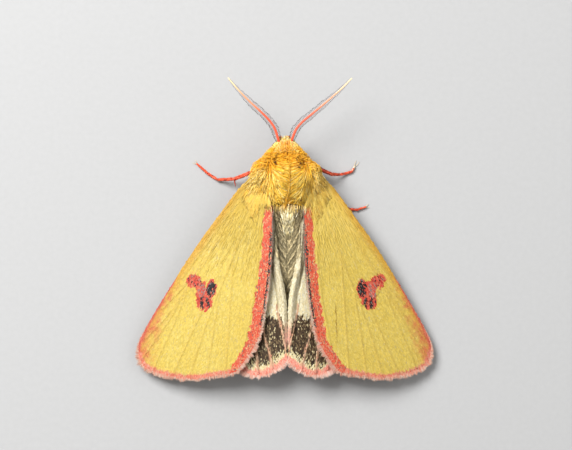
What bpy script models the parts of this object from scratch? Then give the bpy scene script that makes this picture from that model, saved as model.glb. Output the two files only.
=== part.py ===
"""A clouded buff moth at rest, wings laid back flat over its body, as a life-size museum model.

The moth stands on its feet at z = 0, with its head towards +Y and its left wing on the -X side.
Named sizes are millimetres, and they become metres where a mesh is made.
"""

import math

import bmesh
import bpy
import numpy as np
from mathutils import Vector, geometry

MM = 0.001
GAP = 0.3                 # left between pieces that meet
FLOOR = 0.0
SEED = 14

# Body forms: centre, half-sizes, and the rise of the long axis towards the head per mm
THORAX = ((0.0, 5.05, 3.35), (2.3, 2.35, 2.05), 0.12)
ABDOMEN = ((0.0, -2.6, 1.75), (1.7, 6.4, 1.1), 0.12)
HEAD = ((-0.2, 8.1, 3.2), (1.15, 0.95, 1.1), 0.0)
NECK_Y = 7.2              # parting plane between head and thorax
WAIST_Y = 2.85            # parting plane between thorax and abdomen
EYE_RADIUS = 0.64
EYE_OUT = 0.85            # centre of the eye from the head's middle
EYE_FORWARD = 0.15
EYE_DROP = 0.15
EYE_PART = 0.9            # parting plane between eye and head, from the head's middle

# Wings: the upper surface slopes down from a flat ridge over the back
WING_RIDGE_Z = 4.7
WING_RIDGE_FALL = 0.03    # per mm behind y = 0
RIDGE_ROUNDING = 1.2
WING_SAG = 0.0035
WING_THICKNESS = 0.55
WING_STACK = 0.85         # hindwing's upper surface below the forewing's
VEIN_HEIGHT = 0.2
VEIN_HALF_WIDTH = 0.24
FRINGE_NOTCH = 0.16
GRID_ROWS = 1.9           # between the rows of points that carry a wing's curve
GRID_STEP = 2.1

ROOT_LEVEL = 4.0          # height at which the forewing's root meets the thorax
COSTA = ((3.0, 5.75), (3.65, 5.3), (4.85, 4.1), (6.2, 2.3), (7.95, -0.1), (9.2, -1.9),
         (11.1, -4.9), (13.3, -8.5), (14.6, -10.9), (14.9, -12.0))
OUTER_MARGIN = ((14.95, -12.6), (14.6, -13.5), (13.6, -14.2), (12.1, -14.65), (9.6, -15.0),
                (7.6, -14.75), (5.1, -14.3), (4.35, -13.5))
INNER_MARGIN = ((3.63, -12.0), (2.82, -10.4), (2.47, -8.8), (2.15, -6.8), (1.75, -3.0),
                (1.65, 1.0), (1.62, 2.4), (1.9, 3.2))
FOREWING_VEINS = (
    ((2.75, 5.45), (4.6, 3.35), (7.1, -0.1), (10.3, -4.6)),
    ((2.75, 5.2), (5.0, 2.2), (7.6, -2.2), (9.6, -5.3)),
    ((7.6, -2.2), (10.3, -5.6), (12.2, -7.6)),
    ((9.6, -5.3), (12.0, -8.6), (13.7, -10.4)),
    ((9.6, -5.3), (12.0, -9.4), (14.2, -12.4)),
    ((9.6, -5.3), (11.3, -9.6), (13.2, -13.5)),
    ((9.6, -5.3), (8.75, -6.35), (7.3, -7.3)),
    ((8.0, -6.95), (9.6, -10.5), (11.3, -14.1)),
    ((7.3, -7.3), (8.5, -10.8), (9.6, -14.3)),
    ((2.7, 4.95), (3.9, 1.6), (5.7, -3.4), (7.3, -7.3)),
    ((6.65, -5.8), (7.3, -10.0), (7.9, -14.1)),
    ((5.3, -2.4), (5.7, -8.0), (6.1, -13.8)),
    ((2.7, 4.6), (2.7, 0.5), (3.4, -6.6), (4.6, -12.8)),
)
HIND_COSTA = ((2.9, 3.6), (5.0, 0.0), (7.3, -5.0), (8.3, -10.0), (7.6, -12.2), (6.3, -13.3))
HIND_OUTER = ((4.6, -14.2), (3.6, -14.65), (2.7, -14.7), (1.6, -14.4), (0.75, -13.85), (0.15, -13.2))
HIND_INNER = ((0.15, -6.9), (0.3, -5.4), (0.6, -3.4), (1.0, -0.6), (1.3, 0.9), (1.55, 2.2))
HINDWING_VEINS = (
    ((2.6, 3.0), (4.2, -0.6), (6.2, -5.6), (7.2, -10.2)),
    ((2.5, 2.6), (3.6, -1.5), (4.4, -5.6), (5.4, -12.6)),
    ((4.4, -5.6), (4.3, -9.4), (4.2, -13.6)),
    ((2.3, 2.2), (2.9, -2.6), (3.1, -8.6), (2.95, -13.7)),
    ((2.0, 2.2), (1.95, -3.2), (2.3, -8.6), (1.7, -12.9)),
    ((1.75, 1.9), (1.35, -2.2), (1.0, -7.0), (0.5, -11.2)),
)
VEIN_STEP = 1.5           # between the points on a vein's crest
FRINGE_STEP = 0.55        # between one point of the fringe and the notch beside it
INNER_STEP = 2.0

# Coat: a lock's size at its widest, how far its root is sunk, and its share of the size along it
LOCK_WIDTH = 0.95
LOCK_THICKNESS = 0.5
LOCK_SINK = 0.4
LOCK_SHAPE = (0.6, 1.0, 0.9, 0.6)
LOCK_STEPS = len(LOCK_SHAPE)
LENGTH_VARIES = 0.12      # shares by which one lock differs from the next
WIDTH_VARIES = 0.1
LIFT_VARIES = 0.3
OVER_WING = 0.08          # kept above a wing beyond the gap
COAT_PARTING_X = 1.9      # between the thorax's own coat and that of the tegulae
THORAX_LIE = ((0.0, 4.4, 3.35), (2.3, 3.6, 2.05), 0.0)    # the longer form that the coat lies along
ABDOMEN_LIE = ((0.0, -2.6, 1.85), (1.75, 7.6, 1.1), 0.12)
BACK_ROWS = (6.5, 5.85, 5.2, 4.55, 3.9)
BACK_HALF_WIDTH = 1.4
BACK_LOCK = (2.5, 0.45)                                   # length and lift
COLLAR_Y = 6.5
COLLAR_TURNS = (-105, -84, -63, -42, -21, 0, 21, 42, 63, 84, 105)    # degrees from the top
COLLAR_LENGTH = 1.25
BREAST_ROOTS = ((6.5, 2.9), (5.6, 2.6))
BREAST_LOCK = (1.3, 0.5)
# rows along the abdomen's back: y, the places across it, and the locks' width
ABDOMEN_ROWS = (
    (2.3, (-0.6, 0, 0.6), 0.85), (1.4, (-0.4, 0.4), 0.85), (0.5, (-0.5, 0, 0.5), 0.75),
    (-0.5, (-0.25, 0.25), 0.7), (-1.6, (0,), 0.8), (-2.7, (0,), 0.6),
)
ABDOMEN_LOCK = (2.0, 0.35)
FLANK_ROWS = (0.6, -1.2, -3.0, -4.8)
FLANK_LEVELS = (0.45, -0.45)                              # above and below the abdomen's middle
FLANK_LOCK = (2.3, 0.3)
TAIL_Y = -7.9
TAIL_RING = (-0.6, 0.6)                                   # its middle from the abdomen's, and its radius
TAIL_LOCK = (1.9, 0.25, 0.8)
# the head's locks: root from the head's middle line, heading, length
HEAD_LOCKS = (
    ((-0.3, 8.0, 4.2), (-0.6, -0.3, 1), 0.8),
    ((0.0, 7.75, 4.3), (0, 0.2, 1), 0.8),
    ((0.3, 8.0, 4.2), (0.6, -0.3, 1), 0.8),
    ((-0.4, 8.9, 3.4), (-0.3, 1, -0.2), 0.75),
    ((0.0, 9.0, 3.4), (0, 1, 0), 0.75),
    ((0.4, 8.9, 3.4), (0.3, 1, -0.2), 0.75),
    ((-0.25, 8.9, 2.8), (-0.2, 1, -0.5), 0.75),
    ((0.25, 8.9, 2.8), (0.2, 1, -0.5), 0.75),
)
HEAD_LOCK_WIDTH = 0.6
HEAD_LOCK_THICKNESS = 0.42
HEAD_LOCK_DROOP = 0.03

# Feelers and legs
FEELER_RADIUS = 0.25
FEELER_TIP_RADIUS = 0.12
TOOTH_PAIRS = 9
TOOTH_LENGTH = 0.85
TOOTH_WIDTH = 0.36
TOOTH_SWEEP = 0.6         # how far a tooth leans towards the feeler's tip, per length
FEELERS = {
    "left": ((-0.75, 8.45, 3.7), (-1.0, 9.1, 4.25), (-1.35, 10.1, 4.45), (-1.9, 10.9, 4.5),
             (-2.7, 11.7, 4.6), (-3.8, 12.7, 4.7), (-5.0, 13.9, 4.85), (-6.0, 15.05, 5.0)),
    "right": ((0.25, 8.45, 3.7), (0.45, 9.2, 4.25), (0.8, 10.05, 4.45), (1.35, 10.7, 4.5),
              (2.0, 11.25, 4.6), (3.5, 12.5, 4.7), (5.1, 13.9, 4.85), (6.25, 15.05, 5.0)),
}
# the foot's tube is cut level at the floor, which leaves a small flat
LEG_RADII = (0.42, 0.42, 0.34, 0.3, 0.27, 0.25, 0.25, 0.25)
LEGS = {
    "foreleg_left": ((-0.9, 6.0, 2.3), (-2.2, 6.1, 1.3), (-3.7, 5.7, 1.5), (-5.1, 5.15, 1.25),
                     (-6.4, 5.05, 0.45), (-7.2, 5.35, 0.2), (-8.0, 5.95, 0.2), (-8.8, 6.7, 0.2)),
    "foreleg_right": ((0.9, 6.0, 2.3), (2.1, 6.3, 1.3), (3.4, 6.15, 1.5), (4.6, 5.65, 1.25),
                      (5.5, 5.6, 0.55), (6.2, 5.75, 0.2), (6.7, 5.9, 0.2), (7.05, 6.45, 0.2)),
    "midleg_left": ((-1.1, 4.8, 2.1), (-2.2, 4.5, 1.35), (-3.2, 3.9, 1.6), (-4.0, 3.2, 1.1),
                    (-4.6, 2.8, 0.4), (-5.0, 2.6, 0.2), (-5.5, 2.4, 0.2), (-5.9, 2.2, 0.2)),
    "midleg_right": ((1.1, 4.8, 2.1), (2.4, 4.3, 1.35), (3.7, 3.6, 1.6), (4.9, 2.9, 1.1),
                     (6.0, 2.3, 0.4), (6.6, 2.15, 0.2), (7.3, 2.1, 0.2), (8.2, 2.4, 0.2)),
    "hindleg_left": ((-1.2, 3.4, 2.2), (-2.1, 2.3, 1.35), (-3.2, 1.0, 1.45), (-3.8, -0.9, 1.0),
                     (-4.35, -2.7, 0.4), (-4.6, -3.5, 0.2), (-5.0, -4.9, 0.2), (-5.5, -6.5, 0.2)),
    "hindleg_right": ((1.2, 3.4, 2.2), (2.1, 2.3, 1.35), (3.2, 1.0, 1.45), (3.8, -0.9, 1.0),
                      (4.35, -2.7, 0.4), (4.6, -3.5, 0.2), (5.0, -4.9, 0.2), (5.5, -6.5, 0.2)),
}
PALP = ((0.4, 8.2, 2.0), (0.42, 8.8, 1.95), (0.44, 9.3, 2.3))
PALP_RADII = (0.26, 0.26, 0.26, 0.22, 0.13)

# Tegulae: the shoulder flaps over the forewings' roots
TEGULA_MIDDLE = (2.75, 4.95)
TEGULA_HALF_SIZE = (0.95, 1.35)
TEGULA_EDGE = 0.3
TEGULA_CROWN = 0.35
# the shoulder's locks: root, tip, and how far the middle rises off the wing
SHOULDER_LOCKS = (
    ((2.6, 5.6), (3.6, 6.3), 0.2), ((2.8, 5.3), (3.95, 5.65), 0.35), ((2.8, 4.9), (4.1, 4.9), 0.2),
    ((2.8, 4.6), (4.0, 4.0), 0.35), ((2.8, 4.3), (3.8, 3.1), 0.2), ((2.75, 4.3), (3.3, 2.5), 0.4),
    ((2.65, 4.2), (2.75, 2.2), 0.25), ((2.6, 5.0), (3.5, 3.4), 0.55), ((2.6, 5.2), (3.0, 3.0), 0.6),
    ((2.6, 5.4), (3.6, 4.7), 0.6),
)

for left_over in list(bpy.data.objects):
    bpy.data.objects.remove(left_over)

rng = np.random.default_rng(SEED)


def new_collection(name, hidden=False):
    made = bpy.data.collections.new(name)
    made.hide_render = hidden
    bpy.context.scene.collection.children.link(made)
    return made


moth = new_collection("clouded_buff_moth")
makings = new_collection("makings", hidden=True)


def finish(obj, colour, roughness):
    """Gives the object a Principled material of its own."""
    material = bpy.data.materials.new(obj.name)
    material.use_nodes = True
    shader = material.node_tree.nodes["Principled BSDF"]
    shader.inputs["Base Color"].default_value = (*colour, 1.0)
    shader.inputs["Roughness"].default_value = roughness
    shader.inputs["Metallic"].default_value = 0.0
    material.diffuse_color = (*colour, 1.0)
    obj.data.materials.clear()
    obj.data.materials.append(material)


def place(name, mesh, where):
    obj = bpy.data.objects.new(name, mesh)
    where.objects.link(obj)
    return obj


def mesh_of(name, points, faces):
    """A mesh from points in millimetres, with its faces turned outwards."""
    mesh = bpy.data.meshes.new(name)
    mesh.from_pydata([tuple(MM * c for c in p) for p in points], [], faces)
    shaped = bmesh.new()
    shaped.from_mesh(mesh)
    bmesh.ops.recalc_face_normals(shaped, faces=shaped.faces)
    shaped.to_mesh(mesh)
    shaped.free()
    return mesh


def evaluated_mesh(obj):
    graph = bpy.context.evaluated_depsgraph_get()
    return bpy.data.meshes.new_from_object(obj.evaluated_get(graph))


def discard(obj):
    bpy.data.objects.remove(obj)


def keep_largest(mesh):
    """Leaves only the closed surface with the most volume."""
    shaped = bmesh.new()
    shaped.from_mesh(mesh)
    unseen = set(shaped.faces)
    shells = []
    while unseen:
        shell = {unseen.pop()}
        edge_of_shell = list(shell)
        while edge_of_shell:
            face = edge_of_shell.pop()
            for edge in face.edges:
                for other in edge.link_faces:
                    if other in unseen:
                        unseen.discard(other)
                        shell.add(other)
                        edge_of_shell.append(other)
        shells.append(shell)

    def volume(shell):
        total = 0.0
        for face in shell:
            first, *rest = (v.co for v in face.verts)
            for a, b in zip(rest, rest[1:]):
                total += first.dot(a.cross(b)) / 6
        return total

    largest = max(shells, key=volume)
    loose = [face for face in shaped.faces if face not in largest]
    bmesh.ops.delete(shaped, geom=loose, context="FACES")
    bmesh.ops.triangulate(shaped, faces=shaped.faces)
    shaped.to_mesh(mesh)
    shaped.free()


def combine(obj, operation, pieces, solver="EXACT"):
    """Unions the pieces with the object, or cuts it with them, and removes them."""
    bundle = bpy.data.collections.new("bundle")
    for piece in pieces:
        bundle.objects.link(piece)
    modifier = obj.modifiers.new("Join", "BOOLEAN")
    modifier.operation = operation
    modifier.operand_type = "COLLECTION"
    modifier.solver = solver
    modifier.collection = bundle
    made = evaluated_mesh(obj)
    obj.modifiers.clear()
    obj.data = made
    keep_largest(obj.data)
    for piece in pieces:
        discard(piece)
    bpy.data.collections.remove(bundle)


def ellipsoid(name, form, where, grow=0.0, segments=20, rings=12):
    """A sphere primitive stretched to a body form and sheared along its rising axis."""
    centre, sizes, rise = form
    shaped = bmesh.new()
    bmesh.ops.create_uvsphere(shaped, u_segments=segments, v_segments=rings, radius=1.0)
    for vert in shaped.verts:
        x, y, z = (c * (s + grow) for c, s in zip(vert.co, sizes))
        vert.co = Vector((centre[0] + x, centre[1] + y, centre[2] + z + rise * y)) * MM
    mesh = bpy.data.meshes.new(name)
    shaped.to_mesh(mesh)
    shaped.free()
    return place(name, mesh, where)


def keep_side(obj, point, inward):
    """Cuts the object level at a plane and keeps what lies on the inward side."""
    shaped = bmesh.new()
    shaped.from_mesh(obj.data)
    cut = bmesh.ops.bisect_plane(
        shaped, geom=shaped.verts[:] + shaped.edges[:] + shaped.faces[:],
        plane_co=Vector(point) * MM, plane_no=-Vector(inward), clear_outer=True)
    edges = [part for part in cut["geom_cut"] if isinstance(part, bmesh.types.BMEdge)]
    filled = bmesh.ops.holes_fill(shaped, edges=edges)
    bmesh.ops.triangulate(shaped, faces=filled["faces"])
    bmesh.ops.recalc_face_normals(shaped, faces=shaped.faces)
    shaped.to_mesh(obj.data)
    shaped.free()
    keep_largest(obj.data)


def smooth_path(points, count):
    """Evenly numbered points on a Catmull-Rom curve through the given ones."""
    given = np.array(points, float)
    padded = np.vstack([2 * given[0] - given[1], given, 2 * given[-1] - given[-2]])
    at = np.linspace(0, len(given) - 1, count)
    start = np.minimum(at.astype(int), len(given) - 2)
    t = (at - start)[:, None]
    p0, p1, p2, p3 = (padded[start + k] for k in range(4))
    return 0.5 * (2 * p1 + (p2 - p0) * t + (2 * p0 - 5 * p1 + 4 * p2 - p3) * t**2
                  + (3 * p1 - p0 - 3 * p2 + p3) * t**3)


def tube(name, points, radii, where):
    """A bevelled curve through the points, with filled caps, made a mesh."""
    curve = bpy.data.curves.new(name, "CURVE")
    curve.dimensions = "3D"
    curve.bevel_depth = MM
    curve.bevel_resolution = 2
    curve.use_fill_caps = True
    spline = curve.splines.new("POLY")
    spline.points.add(len(points) - 1)
    for spot, place_of, radius in zip(spline.points, points, radii):
        spot.co = (*(MM * c for c in place_of), 1.0)
        spot.radius = radius
    guide = place(name + "_guide", curve, makings)
    mesh = evaluated_mesh(guide)
    discard(guide)
    shaped = bmesh.new()
    shaped.from_mesh(mesh)
    bmesh.ops.remove_doubles(shaped, verts=shaped.verts, dist=1e-7)
    bmesh.ops.recalc_face_normals(shaped, faces=shaped.faces)
    shaped.to_mesh(mesh)
    shaped.free()
    return place(name, mesh, where)


def blade(name, path, ups, width, thickness, shape):
    """A flat pointed lock or tooth: four-sided sections along a path, drawn to a point.

    shape holds the share of full width and thickness at each point but the last."""
    path = np.array(path)
    along = np.gradient(path, axis=0)
    points = []
    for spot, way, up, share in zip(path[:-1], along, ups, shape):
        side = np.cross(way, up)
        side /= np.linalg.norm(side)
        top = np.cross(side, way)
        top /= np.linalg.norm(top)
        points += [spot + side * width * share / 2, spot + top * thickness * share / 2,
                   spot - side * width * share / 2, spot - top * thickness * share / 2]
    points.append(path[-1])
    faces = [(3, 2, 1, 0)]
    for ring in range(len(path) - 2):
        for k in range(4):
            a, b = 4 * ring + k, 4 * ring + (k + 1) % 4
            faces.append((a, b, b + 4, a + 4))
    last = 4 * (len(path) - 2)
    faces += [(last + k, last + (k + 1) % 4, len(points) - 1) for k in range(4)]
    return place(name, mesh_of(name, points, faces), makings)


def wing_top(x, y):
    """Height of the forewing's upper surface."""
    out = math.sqrt(x * x + RIDGE_ROUNDING**2) - RIDGE_ROUNDING
    slope = 0.19 + 0.31 * math.exp((y - 4.0) / 4.5)
    return WING_RIDGE_Z + WING_RIDGE_FALL * min(y, 0.0) - slope * out - WING_SAG * out * out


def thorax_half_width(y, z):
    (cx, cy, cz), (sx, sy, sz), rise = THORAX
    left = 1 - ((y - cy) / sy) ** 2 - ((z - cz - rise * (y - cy)) / sz) ** 2
    return sx * math.sqrt(max(left, 0.0))


def resample(points, spacing):
    """Points every spacing or so along straight runs between the given ones."""
    given = np.array(points, float)
    made = [given[0]]
    for a, b in zip(given, given[1:]):
        count = max(1, round(np.linalg.norm(b - a) / spacing))
        made += [a + (b - a) * k / count for k in range(1, count + 1)]
    return made


def distance_to_line(point, line):
    a, b = line[:-1], line[1:]
    run = b - a
    t = np.clip(((point - a) * run).sum(1) / (run * run).sum(1), 0, 1)
    return np.linalg.norm(point - a - run * t[:, None], axis=1).min()


def slab(name, outline, inner, edges, top, bottom, side):
    """A closed sheet between two surfaces that share one triangulation of the outline.

    The edges join numbered inner points, counted after those of the outline."""
    found, _, triangles, _, _, _ = geometry.delaunay_2d_cdt(
        [Vector(s) for s in (*outline, *inner)], edges, [list(range(len(outline)))], 1, 1e-5)
    points = [(side * x, y, top(x, y)) for x, y in found]
    points += [(side * x, y, bottom(x, y)) for x, y in found]
    count = len(found)
    faces = [tuple(t) for t in triangles]
    ways = {way for t in faces for way in zip(t, t[1:] + t[:1])}
    closed = faces + [tuple(count + k for k in reversed(t)) for t in faces]
    for a, b in sorted(ways):
        if (b, a) not in ways:
            closed += [(b, a, count + b), (count + b, a, count + a)]
    return place(name, mesh_of(name, points, closed), moth)


def membrane(name, outline, veins, surface, side):
    """A wing: a thin sheet with its veins raised as ridges in the upper surface.

    Every vein is a line of triangle edges along its crest, with points at its two feet."""
    crests = [np.array(resample(smooth_path(vein, 9), VEIN_STEP)) for vein in veins]
    rim = np.array(outline)
    ring = np.vstack([rim, rim[:1]])
    kept = [spot for crest in crests for spot in crest]
    edges = []
    first = len(rim)
    for crest in crests:
        edges += [(first + k, first + k + 1) for k in range(len(crest) - 1)]
        first += len(crest)
    extra = []
    for crest in crests:
        way = np.gradient(crest, axis=0)
        way /= np.linalg.norm(way, axis=1)[:, None]
        across = np.column_stack([-way[:, 1], way[:, 0]]) * VEIN_HALF_WIDTH
        extra += [*(crest + across), *(crest - across)]
    low, high = rim.min(0), rim.max(0)
    for row, y in enumerate(np.arange(low[1], high[1], GRID_ROWS)):
        extra += [np.array((x, y)) for x in np.arange(low[0] + (row % 2), high[0], GRID_STEP)]

    def to_vein(spot):
        return min(distance_to_line(spot, crest) for crest in crests) / VEIN_HALF_WIDTH

    for spot in extra:
        near = to_vein(spot)
        if near < 0.8 or 1.02 < near < 3.3 or distance_to_line(spot, ring) < 1.2 * VEIN_HALF_WIDTH:
            continue
        if np.linalg.norm(np.array(kept) - spot, axis=1).min() > 0.7 * VEIN_HALF_WIDTH:
            kept.append(spot)

    def top(x, y):
        return surface(x, y) + VEIN_HEIGHT * max(0.0, 1 - to_vein(np.array((x, y))))

    def bottom(x, y):
        return surface(x, y) - WING_THICKNESS

    return slab(name, outline, kept, edges, top, bottom, side)


def fringed(margin, spacing):
    """The outer margin with a shallow notch between one tuft of fringe and the next."""
    points = resample(margin, spacing)
    middle = np.mean(points, axis=0)
    for k in range(1, len(points) - 1, 2):
        points[k] = points[k] + FRINGE_NOTCH * (middle - points[k]) / np.linalg.norm(middle - points[k])
    return points


def on_form(form, point, lift):
    """The place straight out from the form's middle through the point, and the way out there."""
    centre, sizes, rise = (np.array(part) for part in form)
    local = np.array(point) - centre
    local[2] -= rise * local[1]
    local = local / np.linalg.norm(local / sizes)
    out = local / sizes**2
    out /= np.linalg.norm(out)
    spot = local + out * lift
    spot[2] += rise * spot[1]
    return centre + spot, out


def varied(value, share):
    return value * (1 + share * rng.uniform(-1, 1))


def on_back(form, x, y):
    """The place on a form's upper surface above x and y."""
    centre, sizes, rise = form
    inside = 1 - ((x - centre[0]) / sizes[0]) ** 2 - ((y - centre[1]) / sizes[1]) ** 2
    return (x, y, centre[2] + rise * (y - centre[1]) + sizes[2] * math.sqrt(max(0.0, inside)))


def lock(core, form, root, heading, length, lift, width=LOCK_WIDTH, clear=None):
    """A flat pointed lock that leaves the core at its root and lies back along the form.

    The path steps along the form's surface in the heading, rising to the lift, and the
    function clear, where given, moves each point away from a neighbour."""
    heading = np.array(heading, float)
    step = varied(length, LENGTH_VARIES) / LOCK_STEPS
    width = varied(width, WIDTH_VARIES)
    lift = varied(lift, LIFT_VARIES)
    here, up = on_form(core, root, 0.0)
    path = [here - up * LOCK_SINK]
    ups = [up]
    for k in range(1, LOCK_STEPS + 1):
        way = heading - up * heading.dot(up)
        here = here + way / np.linalg.norm(way) * step
        spot, up = on_form(form, here, lift * min(1.0, 0.4 + 0.3 * k))
        here = here * 0.5 + on_form(form, here, 0.0)[0] * 0.5
        if clear:
            share = LOCK_SHAPE[k] if k < LOCK_STEPS else 0.0
            spot = clear(spot, width * share / 2, LOCK_THICKNESS * share / 2)
        path.append(spot)
        ups.append(up)
    return blade("lock", path, ups, width, LOCK_THICKNESS, LOCK_SHAPE)


def over_wings(spot, half_width, half_thickness):
    """Lifts a point of a lock clear of the wings, and keeps it on the thorax's side of the parting."""
    x, y, z = spot
    most = COAT_PARTING_X - GAP / 2 - half_width
    x = max(-most, min(most, x))
    return np.array((x, y, max(z, wing_top(x, y) + GAP + half_thickness + OVER_WING)))


def under_wings(spot, half_width, half_thickness):
    """Keeps a point of a lock below the lower wing there, which ahead of the hindwing is the forewing."""
    x, y, z = spot
    low = wing_top(x, y) - WING_THICKNESS
    if y - half_width < HIND_COSTA[0][1] + GAP:
        low -= WING_STACK
    return np.array((x, y, min(z, low - GAP - half_thickness)))


SIDES = {"left": -1.0, "right": 1.0}
STRAW = (0.78, 0.58, 0.13)
CREAM = (0.62, 0.55, 0.38)
AMBER = (0.72, 0.45, 0.08)
RUST = (0.55, 0.12, 0.05)
DARK = (0.02, 0.015, 0.012)

# Forewings and hindwings
fore_root = [(thorax_half_width(y, ROOT_LEVEL) + GAP, y) for y in (4.1, 4.7, 5.3, 5.9)]
hind_root = [(thorax_half_width(y, ROOT_LEVEL - WING_STACK - 0.2) + GAP, y) for y in (3.0, 3.5)]
for side_name, side in SIDES.items():
    outline = [*fore_root, *COSTA, *fringed(OUTER_MARGIN, FRINGE_STEP),
               *resample(INNER_MARGIN, INNER_STEP)]
    wing = membrane("forewing_" + side_name, outline, FOREWING_VEINS, wing_top, side)
    finish(wing, STRAW, 0.7)
    outline = [*hind_root, *HIND_COSTA, *fringed(HIND_OUTER, FRINGE_STEP),
               *resample(HIND_INNER, INNER_STEP)]
    wing = membrane("hindwing_" + side_name, outline, HINDWING_VEINS,
                    lambda x, y: wing_top(x, y) - WING_STACK, side)
    finish(wing, CREAM, 0.75)

# Body
thorax = ellipsoid("thorax", THORAX, moth)
keep_side(thorax, (0, NECK_Y - GAP / 2, 0), (0, -1, 0))
keep_side(thorax, (0, WAIST_Y + GAP / 2, 0), (0, 1, 0))
locks = []
for row, y in enumerate(BACK_ROWS):
    count = 4 if row % 2 else 5
    reach = BACK_HALF_WIDTH * (1.0 if row < 4 else 0.7)
    for x in np.linspace(-reach, reach, count):
        lean = -0.14 * x if row < 3 else 0.16 * x
        root = on_back(THORAX, x, y)
        locks.append(lock(THORAX, THORAX_LIE, root, (lean, -1, 0), *BACK_LOCK, clear=over_wings))
for turn in np.radians(COLLAR_TURNS):
    root = (2 * math.sin(turn), COLLAR_Y, THORAX[0][2] + 2 * math.cos(turn))
    heading = (0.9 * math.sin(turn), 1.0, 0.9 * math.cos(turn))
    spot, up = on_form(THORAX, root, 0.0)
    way = np.array(heading) / np.linalg.norm(heading)
    path = [spot - up * LOCK_SINK - way * 0.2]
    path += [spot + way * varied(COLLAR_LENGTH, WIDTH_VARIES) * k / 4 for k in (1, 2, 3, 4)]
    locks.append(blade("lock", path, [up] * 5, LOCK_WIDTH, LOCK_THICKNESS, LOCK_SHAPE))
for side in SIDES.values():
    for y, z in BREAST_ROOTS:
        locks.append(lock(THORAX, THORAX, (side * 2, y, z), (side, -0.5, 0), *BREAST_LOCK, clear=under_wings))
combine(thorax, "UNION", locks, solver="MANIFOLD")
finish(thorax, AMBER, 0.8)

abdomen = ellipsoid("abdomen", ABDOMEN, moth)
keep_side(abdomen, (0, WAIST_Y - GAP / 2, 0), (0, -1, 0))


def between_wings(spot, half_width, half_thickness):
    """Keeps a lock on the back inside the slot between the hindwings."""
    x, y, z = spot
    edges = sorted((y, x) for x, y in HIND_INNER)
    edge = np.interp(y, [e[0] for e in edges], [e[1] for e in edges])
    most = max(0.0, edge - GAP - half_width)
    return np.array((max(-most, min(most, x)), y, z))


locks = []
for y, places, width in ABDOMEN_ROWS:
    for x in places:
        root = on_back(ABDOMEN, x, y)
        heading = (-0.25 * x, -1, 0)
        locks.append(lock(ABDOMEN, ABDOMEN_LIE, root, heading, *ABDOMEN_LOCK, width, between_wings))
for side in SIDES.values():
    for y in FLANK_ROWS:
        for z in FLANK_LEVELS:
            root = (side * 1.6, y, ABDOMEN[0][2] + z)
            heading = (side * 0.2, -1, 0.2 * z)
            locks.append(lock(ABDOMEN, ABDOMEN, root, heading, *FLANK_LOCK, clear=under_wings))
for turn in np.radians(range(18, 378, 72)):
    low, radius = TAIL_RING
    root = (math.cos(turn), TAIL_Y, ABDOMEN[0][2] + low + radius * math.sin(turn))
    locks.append(lock(ABDOMEN, ABDOMEN_LIE, root, (0.1 * math.cos(turn), -1, 0), *TAIL_LOCK))
combine(abdomen, "UNION", locks)
finish(abdomen, CREAM, 0.8)

head = ellipsoid("head", HEAD, moth)
keep_side(head, (0, NECK_Y + GAP / 2, 0), (0, 1, 0))
head_x = HEAD[0][0]
for side_name, side in SIDES.items():
    plane = head_x + side * (EYE_PART - GAP / 2)
    keep_side(head, (plane, 0, 0), (-side, 0, 0))
    centre = (head_x + side * EYE_OUT, HEAD[0][1] + EYE_FORWARD, HEAD[0][2] - EYE_DROP)
    eye = ellipsoid("eye_" + side_name, (centre, (EYE_RADIUS,) * 3, 0.0), moth, segments=16, rings=10)
    keep_side(eye, (plane + side * GAP, 0, 0), (side, 0, 0))
    finish(eye, DARK, 0.2)
locks = []
for (x, y, z), heading, length in HEAD_LOCKS:
    spot, up = on_form(HEAD, (head_x + x, y, z), 0.0)
    way = np.array(heading) / np.linalg.norm(heading)
    side_up = np.array((0, -way[2], way[1])) if abs(way[1]) > 0.5 else np.array((0, -1, 0.2))
    path = [spot - up * LOCK_SINK - way * 0.1]
    path += [spot + way * length * k / 4 - np.array((0, 0, HEAD_LOCK_DROOP)) * k * k for k in (1, 2, 3, 4)]
    locks.append(blade("lock", path, [side_up] * 5, HEAD_LOCK_WIDTH, HEAD_LOCK_THICKNESS, LOCK_SHAPE))
combine(head, "UNION", locks, solver="MANIFOLD")
finish(head, STRAW, 0.8)

# Feelers, palps and legs, cut clear of what they grow from
for side_name, side in SIDES.items():
    path = smooth_path(FEELERS[side_name], 15)
    radii = np.linspace(FEELER_RADIUS, FEELER_TIP_RADIUS, len(path))
    feeler = tube("antenna_" + side_name, path, radii, moth)
    combine(feeler, "DIFFERENCE", [ellipsoid("cutter", HEAD, makings, grow=GAP)])
    teeth = []
    fine = smooth_path(FEELERS[side_name], 60)
    for k, at in enumerate(np.linspace(11, 44, TOOTH_PAIRS).astype(int)):
        way = fine[at + 1] - fine[at - 1]
        way /= np.linalg.norm(way)
        across = np.cross(way, (0, 0, 1))
        length = TOOTH_LENGTH * (1 - 0.5 * k / TOOTH_PAIRS)
        for out in (across, -across):
            lie = out + way * TOOTH_SWEEP
            tooth_path = [fine[at] + lie * length * share for share in (0.07, 0.55, 1.0)]
            teeth.append(blade("tooth", tooth_path, [(0, 0, 1)] * 3, TOOTH_WIDTH, TOOTH_WIDTH, (1.0, 0.75)))
    combine(feeler, "UNION", teeth)
    finish(feeler, RUST, 0.6)
    path = smooth_path([(head_x + side * x, y, z) for x, y, z in PALP], len(PALP_RADII))
    palp = tube("palp_" + side_name, path, PALP_RADII, moth)
    combine(palp, "DIFFERENCE", [ellipsoid("cutter", HEAD, makings, grow=GAP)])
    finish(palp, RUST, 0.7)

for name, route in LEGS.items():
    path = smooth_path(route, 18)
    radii = np.interp(np.linspace(0, 7, 18), range(8), LEG_RADII)
    leg = tube(name, path, radii, moth)
    combine(leg, "DIFFERENCE", [ellipsoid("cutter", THORAX, makings, grow=GAP)])
    keep_side(leg, (0, 0, FLOOR), (0, 0, 1))
    finish(leg, RUST, 0.6)

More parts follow.
